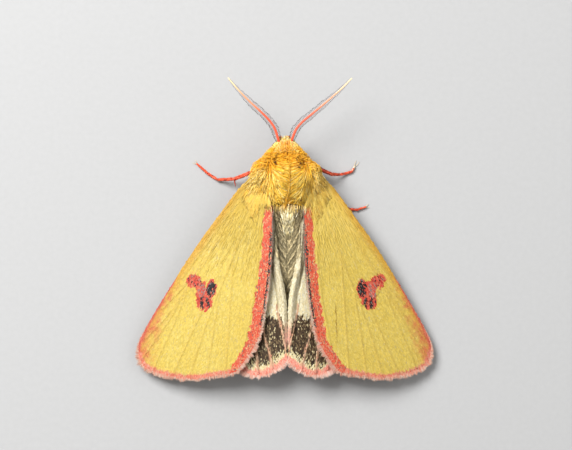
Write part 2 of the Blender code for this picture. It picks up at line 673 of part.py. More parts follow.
# Tegulae, shields that follow the wing below them and carry the shoulder's locks
def tegula_low(x, y):
    return wing_top(x, y) + GAP


def tegula_high(x, y):
    out = sum(((c - m) / h) ** 2 for c, m, h in zip((x, y), TEGULA_MIDDLE, TEGULA_HALF_SIZE))
    return tegula_low(x, y) + TEGULA_EDGE + TEGULA_CROWN * max(0.0, 1 - out)


def shoulder_lock(side, root, tip, layer):
    """A lock from the tegula that bends down and ends just clear of the wing."""
    path = []
    for k in range(LOCK_STEPS + 1):
        t = k / LOCK_STEPS
        x, y = (r + (e - r) * t for r, e in zip(root, tip))
        share = LOCK_SHAPE[k] if k < LOCK_STEPS else 0.0
        rest = tegula_low(x, y) + LOCK_THICKNESS * share / 2 + 0.1
        path.append((side * x, y, rest + layer * math.sin(math.pi * (0.15 + 0.7 * t))))
    width = varied(LOCK_WIDTH, WIDTH_VARIES)
    return blade("lock", path, [(0, 0, 1)] * len(path), width, LOCK_THICKNESS, LOCK_SHAPE)


for side_name, side in SIDES.items():
    turn = np.linspace(0, 2 * np.pi, 20, endpoint=False)
    oval = np.column_stack([np.cos(turn), np.sin(turn)])
    outline = [tuple(TEGULA_MIDDLE + ring * TEGULA_HALF_SIZE) for ring in oval]
    inner = [tuple(TEGULA_MIDDLE + ring * TEGULA_HALF_SIZE * 0.55) for ring in oval[::2]]
    tegula = slab("tegula_" + side_name, outline, [*inner, TEGULA_MIDDLE], [], tegula_high, tegula_low, side)
    combine(tegula, "UNION", [shoulder_lock(side, *sizes) for sizes in SHOULDER_LOCKS])
    combine(tegula, "DIFFERENCE", [ellipsoid("cutter", THORAX, makings, grow=GAP)])
    finish(tegula, AMBER, 0.8)
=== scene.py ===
import math

import bpy
import numpy as np
from mathutils import Matrix


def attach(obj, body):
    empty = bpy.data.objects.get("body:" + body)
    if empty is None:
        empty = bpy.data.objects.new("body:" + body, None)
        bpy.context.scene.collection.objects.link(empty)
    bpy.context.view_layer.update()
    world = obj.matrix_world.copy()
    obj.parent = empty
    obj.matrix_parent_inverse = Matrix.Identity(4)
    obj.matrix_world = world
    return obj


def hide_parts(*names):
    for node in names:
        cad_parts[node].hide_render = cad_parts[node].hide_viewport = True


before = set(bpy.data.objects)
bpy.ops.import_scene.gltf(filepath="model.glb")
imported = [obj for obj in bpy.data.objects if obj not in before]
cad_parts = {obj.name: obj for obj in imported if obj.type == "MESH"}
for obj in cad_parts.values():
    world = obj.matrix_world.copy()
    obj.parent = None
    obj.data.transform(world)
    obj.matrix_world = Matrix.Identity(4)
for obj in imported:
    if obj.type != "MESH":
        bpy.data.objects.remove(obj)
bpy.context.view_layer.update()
MM = 0.001

# The stand: a plain pale sheet of card under the moth, lit like a museum case by one broad soft lamp
# from the head's left and a weak one from the right. The camera looks straight down on the back,
# leaning five degrees to the moth's left, through a long lens.


def linear(colour):
    """Turns an sRGB hex colour into linear light: low values are divided, the rest raised to 2.4."""
    srgb = np.array([int(colour[i:i + 2], 16) / 255 for i in (1, 3, 5)])
    return np.where(srgb <= 0.04045, srgb / 12.92, ((srgb + 0.055) / 1.055) ** 2.4)


def unit(vectors):
    """Each vector divided by its length."""
    return vectors / (np.linalg.norm(vectors, axis=-1, keepdims=True) + 1e-9)


def add_node(material, kind, inputs=(), **settings):
    """Adds one shader node with its settings; inputs gives sockets their values or the outputs they take."""
    tree = material.node_tree
    node = tree.nodes.new(kind)
    for key, value in settings.items():
        setattr(node, key, value)
    for socket, value in dict(inputs).items():
        if isinstance(value, bpy.types.NodeSocket):
            tree.links.new(value, node.inputs[socket])
        else:
            node.inputs[socket].default_value = value
    return node


def new_material(name, **sockets):
    """A material with its own Principled shader, whose sockets are named with underscores for spaces."""
    material = bpy.data.materials.new(name)
    material.use_nodes = True
    shader = material.node_tree.nodes["Principled BSDF"]
    for socket, value in sockets.items():
        shader.inputs[socket.replace("_", " ")].default_value = value
    return material, shader


# Uncoated card: matt fibres, with a grain about half a millimetre across that barely shows
card, card_shader = new_material("uncoated_card", Roughness=0.9)
card_place = add_node(card, "ShaderNodeTexCoord")
card_grain = add_node(card, "ShaderNodeTexNoise", {"Vector": card_place.outputs["Object"], "Scale": 2000.0})
card_tone = add_node(card, "ShaderNodeMapRange",
                     {"Value": card_grain.outputs["Fac"], "To Min": 0.36, "To Max": 0.39})
card.node_tree.links.new(card_tone.outputs["Result"], card_shader.inputs["Base Color"])

CARD_HALF = 0.5           # half the card's side, in metres
floor_mesh = bpy.data.meshes.new("floor")
floor_mesh.from_pydata([(x * CARD_HALF, y * CARD_HALF, 0) for x, y in ((-1, -1), (1, -1), (1, 1), (-1, 1))],
                       [], [(0, 1, 2, 3)])
floor = bpy.data.objects.new("floor", floor_mesh)
floor.data.materials.append(card)
bpy.context.scene.collection.objects.link(floor)


def aim(thing, place, target):
    """Puts a lamp or camera at a place and turns it to face the target, with +Y upward in its view."""
    back = unit(np.array(place, float) - target)
    side = unit(np.cross((0.0, 1.0, 0.0), back))
    turned = np.eye(4)
    turned[:3, 0], turned[:3, 1], turned[:3, 2], turned[:3, 3] = side, np.cross(back, side), back, place
    thing.matrix_world = Matrix(turned.tolist())


for lamp_name, lamp_place, lamp_size, lamp_power in (
    ("key_lamp", (-0.16, 0.15, 0.24), 0.16, 2.05),
    ("fill_lamp", (0.2, 0.02, 0.22), 0.25, 0.22),
):
    light = bpy.data.lights.new(lamp_name, "AREA")
    light.size = lamp_size
    light.energy = lamp_power
    lamp = bpy.data.objects.new(lamp_name, light)
    bpy.context.scene.collection.objects.link(lamp)
    aim(lamp, lamp_place, (0.0, 0.0, 0.0))

room = bpy.data.worlds.new("room")
room.use_nodes = True
room_light = room.node_tree.nodes["Background"].inputs
room_light["Color"].default_value = (1.0, 0.99, 0.97, 1.0)
room_light["Strength"].default_value = 0.42
bpy.context.scene.world = room
bpy.context.scene.view_settings.view_transform = "Standard"

LEAN = math.radians(5)    # of the camera, to the moth's left
VIEW_WIDTH = 57.2 * MM    # 0.1 mm to a pixel of the frame
view_centre = np.array((0.16, 0.575, 0.0)) * MM
camera_data = bpy.data.cameras.new("camera")
camera_data.sensor_width = 36.0
camera_data.lens = 200.0
camera_data.clip_start = 0.001
camera = bpy.data.objects.new("camera", camera_data)
bpy.context.scene.collection.objects.link(camera)
distance_up = VIEW_WIDTH * camera_data.lens / camera_data.sensor_width
aim(camera, view_centre + distance_up * np.array((-math.sin(LEAN), 0.0, math.cos(LEAN))), view_centre)
bpy.context.scene.camera = camera

# Forewings: a stiff clear membrane on branching veins, clad on top in rows of overlapping scales,
# straw yellow with red and black marks, and edged with a pink fringe. Laid flat back over the body.


def smooth_line(points, count):
    """Even points along a curve: each stretch is the Catmull-Rom cubic of the four given points round it."""
    p = np.asarray(points, float)
    p = np.vstack([2 * p[0] - p[1], p, 2 * p[-1] - p[-2]])
    t = np.linspace(0, len(p) - 3, 60 * len(p))
    i = np.minimum(t.astype(int), len(p) - 4)
    f = (t - i)[:, None]
    a, b, c, d = p[i], p[i + 1], p[i + 2], p[i + 3]
    curve = 0.5 * (2 * b + (c - a) * f + (2 * a - 5 * b + 4 * c - d) * f ** 2
                   + (3 * b - 3 * c + d - a) * f ** 3)
    along = np.concatenate([[0.0], np.cumsum(np.linalg.norm(np.diff(curve, axis=0), axis=1))])
    at = np.linspace(0, along[-1], count)
    return np.stack([np.interp(at, along, curve[:, k]) for k in range(p.shape[1])], axis=1)


def away(x, y, lines):
    """Distance from each place to the nearest of some lines: the least over their straight stretches."""
    p = np.stack([x, y], axis=-1)[..., None, :]
    a = np.vstack([np.asarray(line, float)[:-1] for line in lines])
    b = np.vstack([np.asarray(line, float)[1:] for line in lines])
    t = np.clip(((p - a) * (b - a)).sum(-1) / ((b - a) ** 2).sum(-1), 0, 1)
    return np.sqrt(((p - a - t[..., None] * (b - a)) ** 2).sum(-1)).min(-1)


def rolling(x, y, size, seed):
    """Soft blotches from 0 to 1: random values on a square lattice, eased from one to the next."""
    lattice = np.random.default_rng(seed).random((97, 97))
    i, j = np.floor(x / size), np.floor(y / size)
    f, g = x / size - i, y / size - j
    f, g = f * f * (3 - 2 * f), g * g * (3 - 2 * g)
    i, j = i.astype(int) % 96, j.astype(int) % 96
    low = lattice[i, j] * (1 - f) + lattice[i + 1, j] * f
    high = lattice[i, j + 1] * (1 - f) + lattice[i + 1, j + 1] * f
    return low * (1 - g) + high * g


def fade(value, near, far):
    """1 up to near, 0 from far, eased between."""
    t = np.clip((value - far) / (near - far), 0, 1)
    return t * t * (3 - 2 * t)


def blend(under, over, share):
    """Lays one colour over another by a share for each place."""
    return under * (1 - share[..., None]) + over * share[..., None]


def wing_top(x, y):
    """The folded forewings' upper side: a ridge over the back, falling away to each side, less behind."""
    out = np.sqrt(x ** 2 + 1.44) - 1.2
    slope = 0.19 + 0.31 * np.exp((y - 4.0) / 4.5)
    return 4.7 + 0.03 * np.minimum(y, 0.0) - slope * out - 0.0035 * out ** 2


def wing_sheet(front, back, root, margin):
    """Fills four border lines: the sheets ruled between opposite lines, added, less the corners' sheet."""
    u = np.linspace(0, 1, len(root))[:, None, None]
    v = np.linspace(0, 1, len(front))[None, :, None]
    ruled = (1 - u) * front[None] + u * back[None] + (1 - v) * root[:, None] + v * margin[:, None]
    corners = ((1 - u) * (1 - v) * front[0] + u * (1 - v) * back[0]
               + (1 - u) * v * front[-1] + u * v * back[-1])
    return ruled - corners


def on_sheet(sheet, u, v):
    """Reads places off a sheet at shares u and v of it, between its four nearest grid points."""
    i, j = u * (sheet.shape[0] - 1), v * (sheet.shape[1] - 1)
    i0, j0 = np.minimum(i.astype(int), sheet.shape[0] - 2), np.minimum(j.astype(int), sheet.shape[1] - 2)
    f, g = (i - i0)[:, None], (j - j0)[:, None]
    low = sheet[i0, j0] * (1 - f) + sheet[i0 + 1, j0] * f
    high = sheet[i0, j0 + 1] * (1 - f) + sheet[i0 + 1, j0 + 1] * f
    return low * (1 - g) + high * g


def make_piece(name, parts, material, mirrored=False, smooth=True):
    """Joins parts, each (points in mm, triangles, colours, corner UVs or None), into one mesh piece."""
    points, triangles, colours, corners = [], [], [], []
    count = 0
    for part_points, part_triangles, part_colours, part_corners in parts:
        points.append(np.asarray(part_points).reshape(-1, 3))
        triangles.append(np.asarray(part_triangles).reshape(-1, 3) + count)
        colours.append(np.asarray(part_colours).reshape(-1, 3))
        if part_corners is not None:
            corners.append(np.asarray(part_corners).reshape(-1, 3, 2))
        count += len(points[-1])
    points, triangles, colours = np.vstack(points) * MM, np.vstack(triangles), np.vstack(colours)
    if mirrored:
        points = points * (-1, 1, 1)
        triangles = triangles[:, ::-1]
    mesh = bpy.data.meshes.new(name)
    mesh.vertices.add(len(points))
    mesh.vertices.foreach_set("co", points.ravel())
    mesh.loops.add(triangles.size)
    mesh.loops.foreach_set("vertex_index", triangles.ravel().astype(np.int32))
    mesh.polygons.add(len(triangles))
    mesh.polygons.foreach_set("loop_start", np.arange(0, triangles.size, 3, dtype=np.int32))
    mesh.update(calc_edges=True)
    tone = mesh.color_attributes.new("tone", "FLOAT_COLOR", "POINT")
    tone.data.foreach_set("color", np.hstack([colours, np.ones((len(colours), 1))]).ravel())
    if corners:
        corners = np.vstack(corners)
        if mirrored:
            corners = corners[:, ::-1]
        mesh.uv_layers.new(name="OFBake").data.foreach_set("uv", corners.ravel())
    if smooth:
        mesh.shade_smooth()
    else:
        mesh.shade_flat()
    mesh.materials.append(material)
    piece = bpy.data.objects.new(name, mesh)
    bpy.context.scene.collection.objects.link(piece)
    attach(piece, "root")
    return piece


def closed_sheet(top, under, colours):
    """A thin plate with an upper and an under side on one grid, joined all round its rim."""
    nu, nv = top.shape[:2]
    index = np.arange(nu * nv).reshape(nu, nv)
    quads = np.stack([index[:-1, :-1], index[1:, :-1], index[1:, 1:], index[:-1, 1:]], axis=-1).reshape(-1, 4)
    over = np.vstack([quads[:, [0, 1, 2]], quads[:, [0, 2, 3]]])
    rim = np.concatenate([index[:-1, 0], index[-1, :-1], index[:0:-1, -1], index[0, :0:-1]])
    step = np.roll(rim, -1)
    wall = np.vstack([np.stack([rim, rim + nu * nv, step], 1),
                      np.stack([step, rim + nu * nv, step + nu * nv], 1)])
    points = np.vstack([top.reshape(-1, 3), under.reshape(-1, 3)])
    triangles = np.vstack([over, over[:, ::-1] + nu * nv, wall])
    return points, triangles, np.vstack([colours.reshape(-1, 3)] * 2), None


SCALE_OUTLINE = np.array([(0.0, 0.0), (0.3, -0.5), (0.85, -0.42), (1.0, 0.0), (0.85, 0.42), (0.3, 0.5),
                          (0.5, 0.0)])
SCALE_TRIANGLES = np.array([(0, 1, 5), (1, 2, 4), (1, 4, 5), (2, 3, 4),
                            (0, 6, 1), (1, 6, 2), (2, 6, 3), (3, 6, 4), (4, 6, 5), (5, 6, 0)])
PATCH = 0.003             # width of one scale's or hair's patch on the bake map


def bake_place(u, v):
    """Corner-to-corner shares of an unwrap, kept a little inside the bake map's border."""
    return np.stack([0.01 + 0.98 * u, 0.01 + 0.98 * v], axis=-1)


def scales(place, along, normal, length, width, colours, patch):
    """Flat shingles with a keel below: an outline laid along and across each place, its tip lifted."""
    across = np.cross(normal, along)
    lay_long, lay_wide = SCALE_OUTLINE[:, 0], SCALE_OUTLINE[:, 1]
    lift = np.array([0.0, 0.003, 0.008, 0.01, 0.008, 0.003, -0.015])
    points = (place[:, None] + along[:, None] * (length[:, None] * lay_long)[..., None]
              + across[:, None] * (width[:, None] * lay_wide)[..., None]
              + normal[:, None] * lift[None, :, None])
    base = np.arange(len(place))[:, None, None] * len(SCALE_OUTLINE)
    spread = np.stack([lay_wide, lay_long], axis=1) * PATCH
    corners = patch[:, None, None] + spread[SCALE_TRIANGLES][None]
    tones = np.repeat(colours[:, None], len(SCALE_OUTLINE), axis=1)
    # Painted shade and light: each scale a little darker at its root and keel, where the scale before it
    # covers it, and a little lighter at its tip
    tones = tones * np.array([0.95, 0.99, 1.01, 1.02, 1.01, 0.99, 0.95])[None, :, None]
    return points, SCALE_TRIANGLES[None] + base, tones, corners


def hairs(paths, across, widths, root_colours, tip_colours, patch):
    """Tapering three-sided hairs: a flat ring at each step of the path, and a point at its end."""
    count, steps = paths.shape[:2]
    taper = np.interp(np.linspace(0, 1, steps)[:-1], (0, 0.35, 0.75, 1.0), (0.75, 1.0, 0.75, 0.25))
    tangent = paths[:, 1:] - paths[:, :-1]
    ahead = unit(tangent)
    side = unit(across[:, None] - (across[:, None] * ahead).sum(-1, keepdims=True) * ahead)
    upward = np.cross(side, ahead)
    size = widths[:, None, None] * taper[None, :, None]
    middle = paths[:, :-1]
    rings = np.stack([middle - side * size * 0.5, middle + side * size * 0.5, middle + upward * size * 0.4],
                     axis=2)
    points = np.concatenate([rings.reshape(count, -1, 3), paths[:, -1:]], axis=1)
    faces, spots = [], []
    for ring in range(steps - 2):
        for corner in range(3):
            a, b = ring * 3 + corner, ring * 3 + (corner + 1) % 3
            u, v = (corner, corner + 1), (ring, ring + 1)
            faces += [(a, b, b + 3), (a, b + 3, a + 3)]
            spots += [[(u[0], v[0]), (u[1], v[0]), (u[1], v[1])], [(u[0], v[0]), (u[1], v[1]), (u[0], v[1])]]
    last = (steps - 2) * 3
    for corner in range(3):
        faces.append((last + corner, last + (corner + 1) % 3, last + 3))
        spots.append([(corner, steps - 2), (corner + 1, steps - 2), (corner + 0.5, steps - 1)])
    faces.append((0, 2, 1))
    spots.append([(0, 0), (3, 0), (1.5, 0.4)])
    spots = (np.array(spots, float) / (3.0, steps - 1.0) - 0.5) * PATCH
    base = np.arange(count)[:, None, None] * points.shape[1]
    share = np.append(np.repeat(np.linspace(0, 1, steps)[:-1], 3), 1.0)[None, :, None]
    tones = root_colours[:, None] * (1 - share) + tip_colours[:, None] * share
    return points, np.array(faces)[None] + base, tones, patch[:, None, None] + spots[None]


SATIN = dict(Sheen_Weight=0.08, Sheen_Roughness=0.4, Sheen_Tint=(1.0, 0.86, 0.5, 1.0))


def toned_material(name, grains_per_mm, low, high, bump, bump_mm, **sockets):
    """A surface in its mesh's own tones times a fine noise, from low to high, which also gives the bump."""
    material, shader = new_material(name, **sockets)
    tone = add_node(material, "ShaderNodeAttribute", attribute_name="tone")
    place = add_node(material, "ShaderNodeTexCoord")
    noise = add_node(material, "ShaderNodeTexNoise",
                     {"Vector": place.outputs["Object"], "Scale": grains_per_mm / MM})
    bright = add_node(material, "ShaderNodeMapRange",
                      {"Value": noise.outputs["Fac"], "To Min": low, "To Max": high})
    lit = add_node(material, "ShaderNodeVectorMath",
                   {0: tone.outputs["Color"], 1: bright.outputs["Result"]}, operation="MULTIPLY")
    relief = add_node(material, "ShaderNodeBump",
                      {"Height": noise.outputs["Fac"], "Strength": bump, "Distance": bump_mm * MM})
    material.node_tree.links.new(lit.outputs["Vector"], shader.inputs["Base Color"])
    material.node_tree.links.new(relief.outputs["Normal"], shader.inputs["Normal"])
    return material


def wing_scale_material(name, depth):
    """Wing scales: dull chitin flakes with a soft satin sheen. Their ribs, 0.002 mm apart, are drawn at
    0.03 so that they show. Depth tones the pigment down, because flat scales give all their light back."""
    return toned_material(name, 30, depth * 0.93, depth * 1.07, 0.1, 0.005, Roughness=0.6,
                          Specular_IOR_Level=0.22, **SATIN)


COSTA = smooth_line(((2.45, 5.85), (3.0, 5.7), (3.65, 5.25), (4.85, 4.05), (6.2, 2.25), (7.95, -0.15),
                     (9.2, -1.95), (11.1, -4.95), (13.25, -8.5), (14.45, -10.9), (14.6, -12.2)), 181)
MARGIN = smooth_line(((14.6, -12.2), (14.3, -13.1), (13.45, -13.75), (12.0, -14.2), (9.6, -14.52),
                      (7.7, -14.28), (5.4, -13.85), (4.75, -13.35), (4.25, -12.65)), 121)
INNER = smooth_line(((2.35, 4.1), (1.9, 3.2), (1.65, 2.4), (1.64, 1.0), (1.75, -3.0), (2.15, -6.8),
                     (2.5, -8.8), (2.9, -10.4), (3.68, -11.9), (4.25, -12.65)), 181)
ROOT = smooth_line(((2.45, 5.85), (2.4, 5.0), (2.35, 4.1)), 121)
FOREWING_VEINS = [smooth_line(vein, 30) for vein in (
    ((2.75, 5.45), (4.6, 3.35), (7.1, -0.1), (10.3, -4.6)),
    ((2.75, 5.2), (5.0, 2.2), (7.6, -2.2), (9.6, -5.3)),
    ((7.6, -2.2), (10.3, -5.6), (12.2, -7.6)),
    ((9.6, -5.3), (12.0, -8.6), (13.9, -10.6)),
    ((9.6, -5.3), (12.0, -9.4), (14.3, -12.6)),
    ((9.6, -5.3), (11.3, -9.6), (13.2, -13.7)),
    ((9.6, -5.3), (8.75, -6.35), (7.3, -7.3)),
    ((8.0, -6.95), (9.6, -10.5), (11.3, -14.2)),
    ((7.3, -7.3), (8.5, -10.8), (9.6, -14.4)),
    ((2.7, 4.95), (3.9, 1.6), (5.7, -3.4), (7.3, -7.3)),
    ((6.65, -5.8), (7.3, -10.0), (7.9, -14.2)),
    ((5.3, -2.4), (5.7, -8.0), (6.1, -13.9)),
    ((2.7, 4.6), (2.7, 0.5), (3.4, -6.6), (4.6, -12.8)),
)]
BAND_EDGE = smooth_line(((2.36, 2.2), (2.58, -1.2), (2.9, -3.9), (3.28, -7.0), (3.68, -9.7), (4.3, -11.4),
                         (5.0, -12.5), (5.6, -13.2)), 90)
FORE_SHEET = wing_sheet(COSTA, INNER, ROOT, MARGIN)
WING_THICK = 0.2          # membrane with the scales of its underside
FORE_SCALE = (0.27, 0.118)
FORE_ROWS, FORE_GAP = 0.13, 0.102
ROOT_HAIRS = 2000


def vein_rise(x, y, veins, height, width):
    """How far veins lift the wing: a bell curve across each vein."""
    return height * np.exp(-(away(x, y, veins) / width) ** 2)


def forewing_level(x, y):
    """Height of the membrane's upper side: the folded wing's surface, under its scales, with veins."""
    return wing_top(x, y) - 0.08 + vein_rise(x, y, FOREWING_VEINS, 0.04, 0.12)


def inside(x, y, middle, half_long, half_wide, turn):
    """How far inside a slanting oval: under 1 within it, 1 on its edge."""
    c, s = math.cos(math.radians(turn)), math.sin(math.radians(turn))
    a, b = x - middle[0], y - middle[1]
    return np.sqrt(((a * c + b * s) / half_long) ** 2 + ((b * c - a * s) / half_wide) ** 2)


def pick(colours, shares, chance):
    """Gives each place one of some colours, each as often as its share says."""
    bounds = np.cumsum(np.asarray(shares, float)) / np.sum(shares)
    return np.array([linear(c) for c in colours])[np.searchsorted(bounds[:-1], chance)]


def forewing_tones(x, y, side, rng):
    """Colour of each place on a forewing: yellow ground, gold costa, pink rim, inner band and spot."""
    n = x.shape
    chance, jitter = rng.random(n), rng.random(n)
    ragged = rolling(x + 40, y + 40, 0.35, 5 + side) - 0.5
    ground = pick(("#FDDF6E", "#FDE277", "#FBDA62", "#FEE78C", "#E8D494"), (50, 26, 17, 6, 1), chance)
    worn = rolling(x + 50, y + 50, 1.7, 9 + side)
    tones = blend(ground, linear("#F4CC45"), 0.35 * worn)
    from_costa = away(x, y, [COSTA])
    gold = fade(from_costa, 0.15, 0.8) * fade(y, 3.5, 6.5) * 0.6 + fade(from_costa, 0.1, 2.4) * 0.2
    tones = blend(tones, pick(("#E9A52E", "#EDB640"), (60, 40), jitter), np.clip(gold, 0, 1))
    tones = blend(tones, linear("#EFC65C"), 0.3 * np.exp(-(away(x, y, FOREWING_VEINS) / 0.1) ** 2))
    toward_tip = fade(y, -12.0, -4.5)
    blush = fade(from_costa + 1.2 * ragged, 0.15, 0.5 + 1.5 * toward_tip) * fade(y, -7.0, -4.0)
    between = 0.5 + 0.5 * np.sin(away(x, y, FOREWING_VEINS) * 7.0)
    tones = blend(tones, pick(("#EE8A52", "#E9774F", "#F0A458"), (4, 3, 3), jitter),
                  blush * (0.35 + 0.65 * between))
    rim = fade(from_costa, 0.06, 0.14 + 0.3 * toward_tip) * fade(y, -5.2, -4.2)
    tones = blend(tones, pick(("#E2604A", "#EE7B62"), (1, 1), jitter), rim)
    from_margin = away(x, y, [MARGIN]) + 0.22 * ragged
    outer = fade(from_margin, 0.3, 0.52) * fade(from_costa, 9.0, 12.0)
    tones = blend(tones, pick(("#FF9A7C", "#FFB094", "#FA8468"), (5, 3, 3), jitter), outer)

    row = np.interp(-y, -BAND_EDGE[:, 1], BAND_EDGE[:, 0])
    start = np.interp(-y, -INNER[:, 1], INNER[:, 0])
    reach = (x - start) / np.maximum(row - start, 0.2)
    band = fade(reach + 0.35 * ragged, 0.93, 1.08) * fade(y + 0.8 * ragged, 1.9, 2.8)
    red = pick(("#FB6446", "#FC7E5A", "#FCA681", "#EE4E38", "#8A7C6C", "#F8C98C"), (38, 28, 12, 12, 4, 6),
               chance)
    tones = blend(tones, red, (band > 0.5) * 1.0)
    line = np.exp(-((reach - 0.1 - 0.08 * ragged) / 0.08) ** 2) * fade(y, -0.6, 0.8) * fade(-y, 8.8, 10.4)
    line = np.clip(line + (0.35 if side > 0 else 0.12) * np.exp(-((reach - 0.3) / 0.22) ** 2)
                   * fade(abs(y + 5.0), 4.5, 7.5), 0, 1)
    tones = blend(tones, pick(("#3A3532", "#6F6A66", "#26201E"), (4, 3, 3), jitter),
                  (line > 0.25 + 0.75 * chance) * 1.0)
    strip = fade(reach, 0.0, 0.05) * fade(y, -5.5, -3.5) * fade(-y, 8.5, 10.0)
    tones = blend(tones, pick(("#DDB79C", "#EBCBB0", "#CC9F8C"), (4, 3, 3), jitter), strip * 0.95)

    upper = inside(x, y, (9.03, -4.93), 0.84, 0.7, 25)
    bridge = inside(x, y, (8.4, -5.85), 1.0, 0.55, 105)
    dark = inside(x, y, (7.45, -5.62), 0.95, 0.52, 96)
    lower = inside(x, y, (8.19, -6.85), 0.88, 0.8, 90)
    spot = np.minimum(np.minimum(upper, bridge), np.minimum(dark, lower)) + 0.42 * ragged
    wash = pick(("#F05A44", "#F67656", "#E4483A", "#F08A6A"), (4, 3, 3, 1), jitter)
    tones = blend(tones, wash, (spot < 1.0) * 1.0)
    specks = pick(("#2A1A18", "#7C4038", "#C9917E"), (5, 3, 2), jitter)
    tones = blend(tones, specks, ((upper < 0.85) & (chance < 0.3)) * 1.0)
    tones = blend(tones, pick(("#C98577", "#9C8A80", "#E79A86"), (1, 1, 1), jitter),
                  ((bridge < 0.7) & (chance < 0.55)) * 1.0)
    soot = pick(("#1C1716", "#3B2F2C", "#8C8078"), (6, 3, 1), jitter)
    tones = blend(tones, soot, ((dark + 0.3 * ragged < 0.86) & (chance < 0.86)) * 1.0)
    swing = np.arctan2(x - 8.35, -(y + 4.3))
    streak = np.sin(swing * 30.0 + 1.1)
    tones = blend(tones, soot, ((lower + 0.25 * ragged < 0.88) & (streak > -0.05) & (y < -6.5)
                                & (chance < 0.9)) * 1.0)
    if side > 0:
        # Painted shade: a darker gold line along a crease in the right forewing
        crease_shade = np.exp(-((x - np.interp(-y, (7.2, 11.0), (4.75, 4.9))) / 0.06) ** 2)
        tones = blend(tones, linear("#A8842A"), 0.7 * crease_shade * fade(abs(y + 9.1), 1.4, 2.2))
    return tones


def lay_scales(sheet, level, tones_of, side, rng, row_gap, gap, size):
    """Rows of overlapping scales over a wing sheet, set closer than they are long, tips outwards."""
    rows = int(np.linalg.norm(np.diff(sheet[sheet.shape[0] // 2], axis=0), axis=1).sum() / row_gap)
    v_rows = (np.arange(rows) + 0.5) / rows
    j = (v_rows * (sheet.shape[1] - 1)).astype(int)
    across = np.linalg.norm(np.diff(sheet[:, j], axis=0), axis=2).sum(0)
    counts = np.maximum((across / gap).astype(int), 3)
    v = np.repeat(v_rows, counts)
    first = np.repeat(np.cumsum(counts) - counts, counts)
    u = (np.arange(len(v)) - first + rng.uniform(0.1, 0.9, len(v))) / np.repeat(counts, counts)
    v = np.clip(v + rng.normal(0, 0.35 / rows, len(v)), 0.002, 0.998)
    place = on_sheet(sheet, u, v)
    ahead = on_sheet(sheet, u, np.minimum(v + 0.02, 1.0)) - on_sheet(sheet, u, np.maximum(v - 0.02, 0.0))
    heading = np.arctan2(ahead[:, 1], ahead[:, 0]) + rng.normal(0, 0.13, len(v))
    x, y = place.T
    step = 0.05           # over which the surface's slope is measured
    z = level(x, y)
    slope_x, slope_y = (level(x + step, y) - z) / step, (level(x, y + step) - z) / step
    c, s = np.cos(heading), np.sin(heading)
    along = unit(np.stack([c, s, slope_x * c + slope_y * s], axis=1))
    normal = np.stack([-slope_x, -slope_y, np.ones_like(x)], axis=1)
    normal += rng.normal(0, 0.05, normal.shape) * (1, 1, 0)
    normal -= (normal * along).sum(1, keepdims=True) * along
    normal = unit(normal)
    length = size[0] * rng.uniform(0.8, 1.15, len(v))
    width = size[1] * rng.uniform(0.85, 1.15, len(v))
    tones = tones_of(x, y, side, rng) * rng.uniform(0.83, 1.15, (len(v), 1))
    return scales(np.column_stack([x, y, z]), along, normal, length, width, tones, bake_place(u, v))


def fringe(line, level, reach_of, rng, layers, gap, tones_of, patch_of, width=0.085):
    """Fringe hairs rooted along a wing's edge, in layers, pointing outwards, with small gaps."""
    even = smooth_line(line, int(np.linalg.norm(np.diff(line, axis=0), axis=1).sum() / gap))
    tangent = np.gradient(even, axis=0)
    outward = unit(np.stack([-tangent[:, 1], tangent[:, 0]], axis=1))
    n = len(even)
    parts = []
    for layer in range(layers):
        turn = rng.normal(0, 0.12, n)
        c, s = np.cos(turn), np.sin(turn)
        way = np.stack([outward[:, 0] * c - outward[:, 1] * s, outward[:, 0] * s + outward[:, 1] * c], axis=1)
        clump = 0.6 + 0.55 * rolling(np.arange(n) * 0.31, np.full(n, 3.0), 1.0, 77)
        length = reach_of(*even.T) * clump * rng.uniform(0.88, 1.08, n)
        t = np.linspace(-0.3, 1.0, 4)
        xy = even[:, None] + way[:, None] * (length[:, None] * t)[..., None] + rng.normal(0, 0.02, (n, 1, 2))
        z = level(even[:, 0], even[:, 1])[:, None] - 0.01 - 0.05 * layer + 0.02 * t[None]
        z = z + rng.normal(0, 0.012, (n, 1))
        paths = np.concatenate([xy, np.broadcast_to(z, xy.shape[:2])[..., None]], axis=2)
        across = np.column_stack([-way[:, 1], way[:, 0], np.zeros(n)])
        root, tip = tones_of(even[:, 1], rng)
        widths = width * rng.uniform(0.7, 1.2, n)
        parts.append(hairs(paths, across, widths, root, tip, patch_of(np.linspace(0, 1, n), layer)))
    return parts


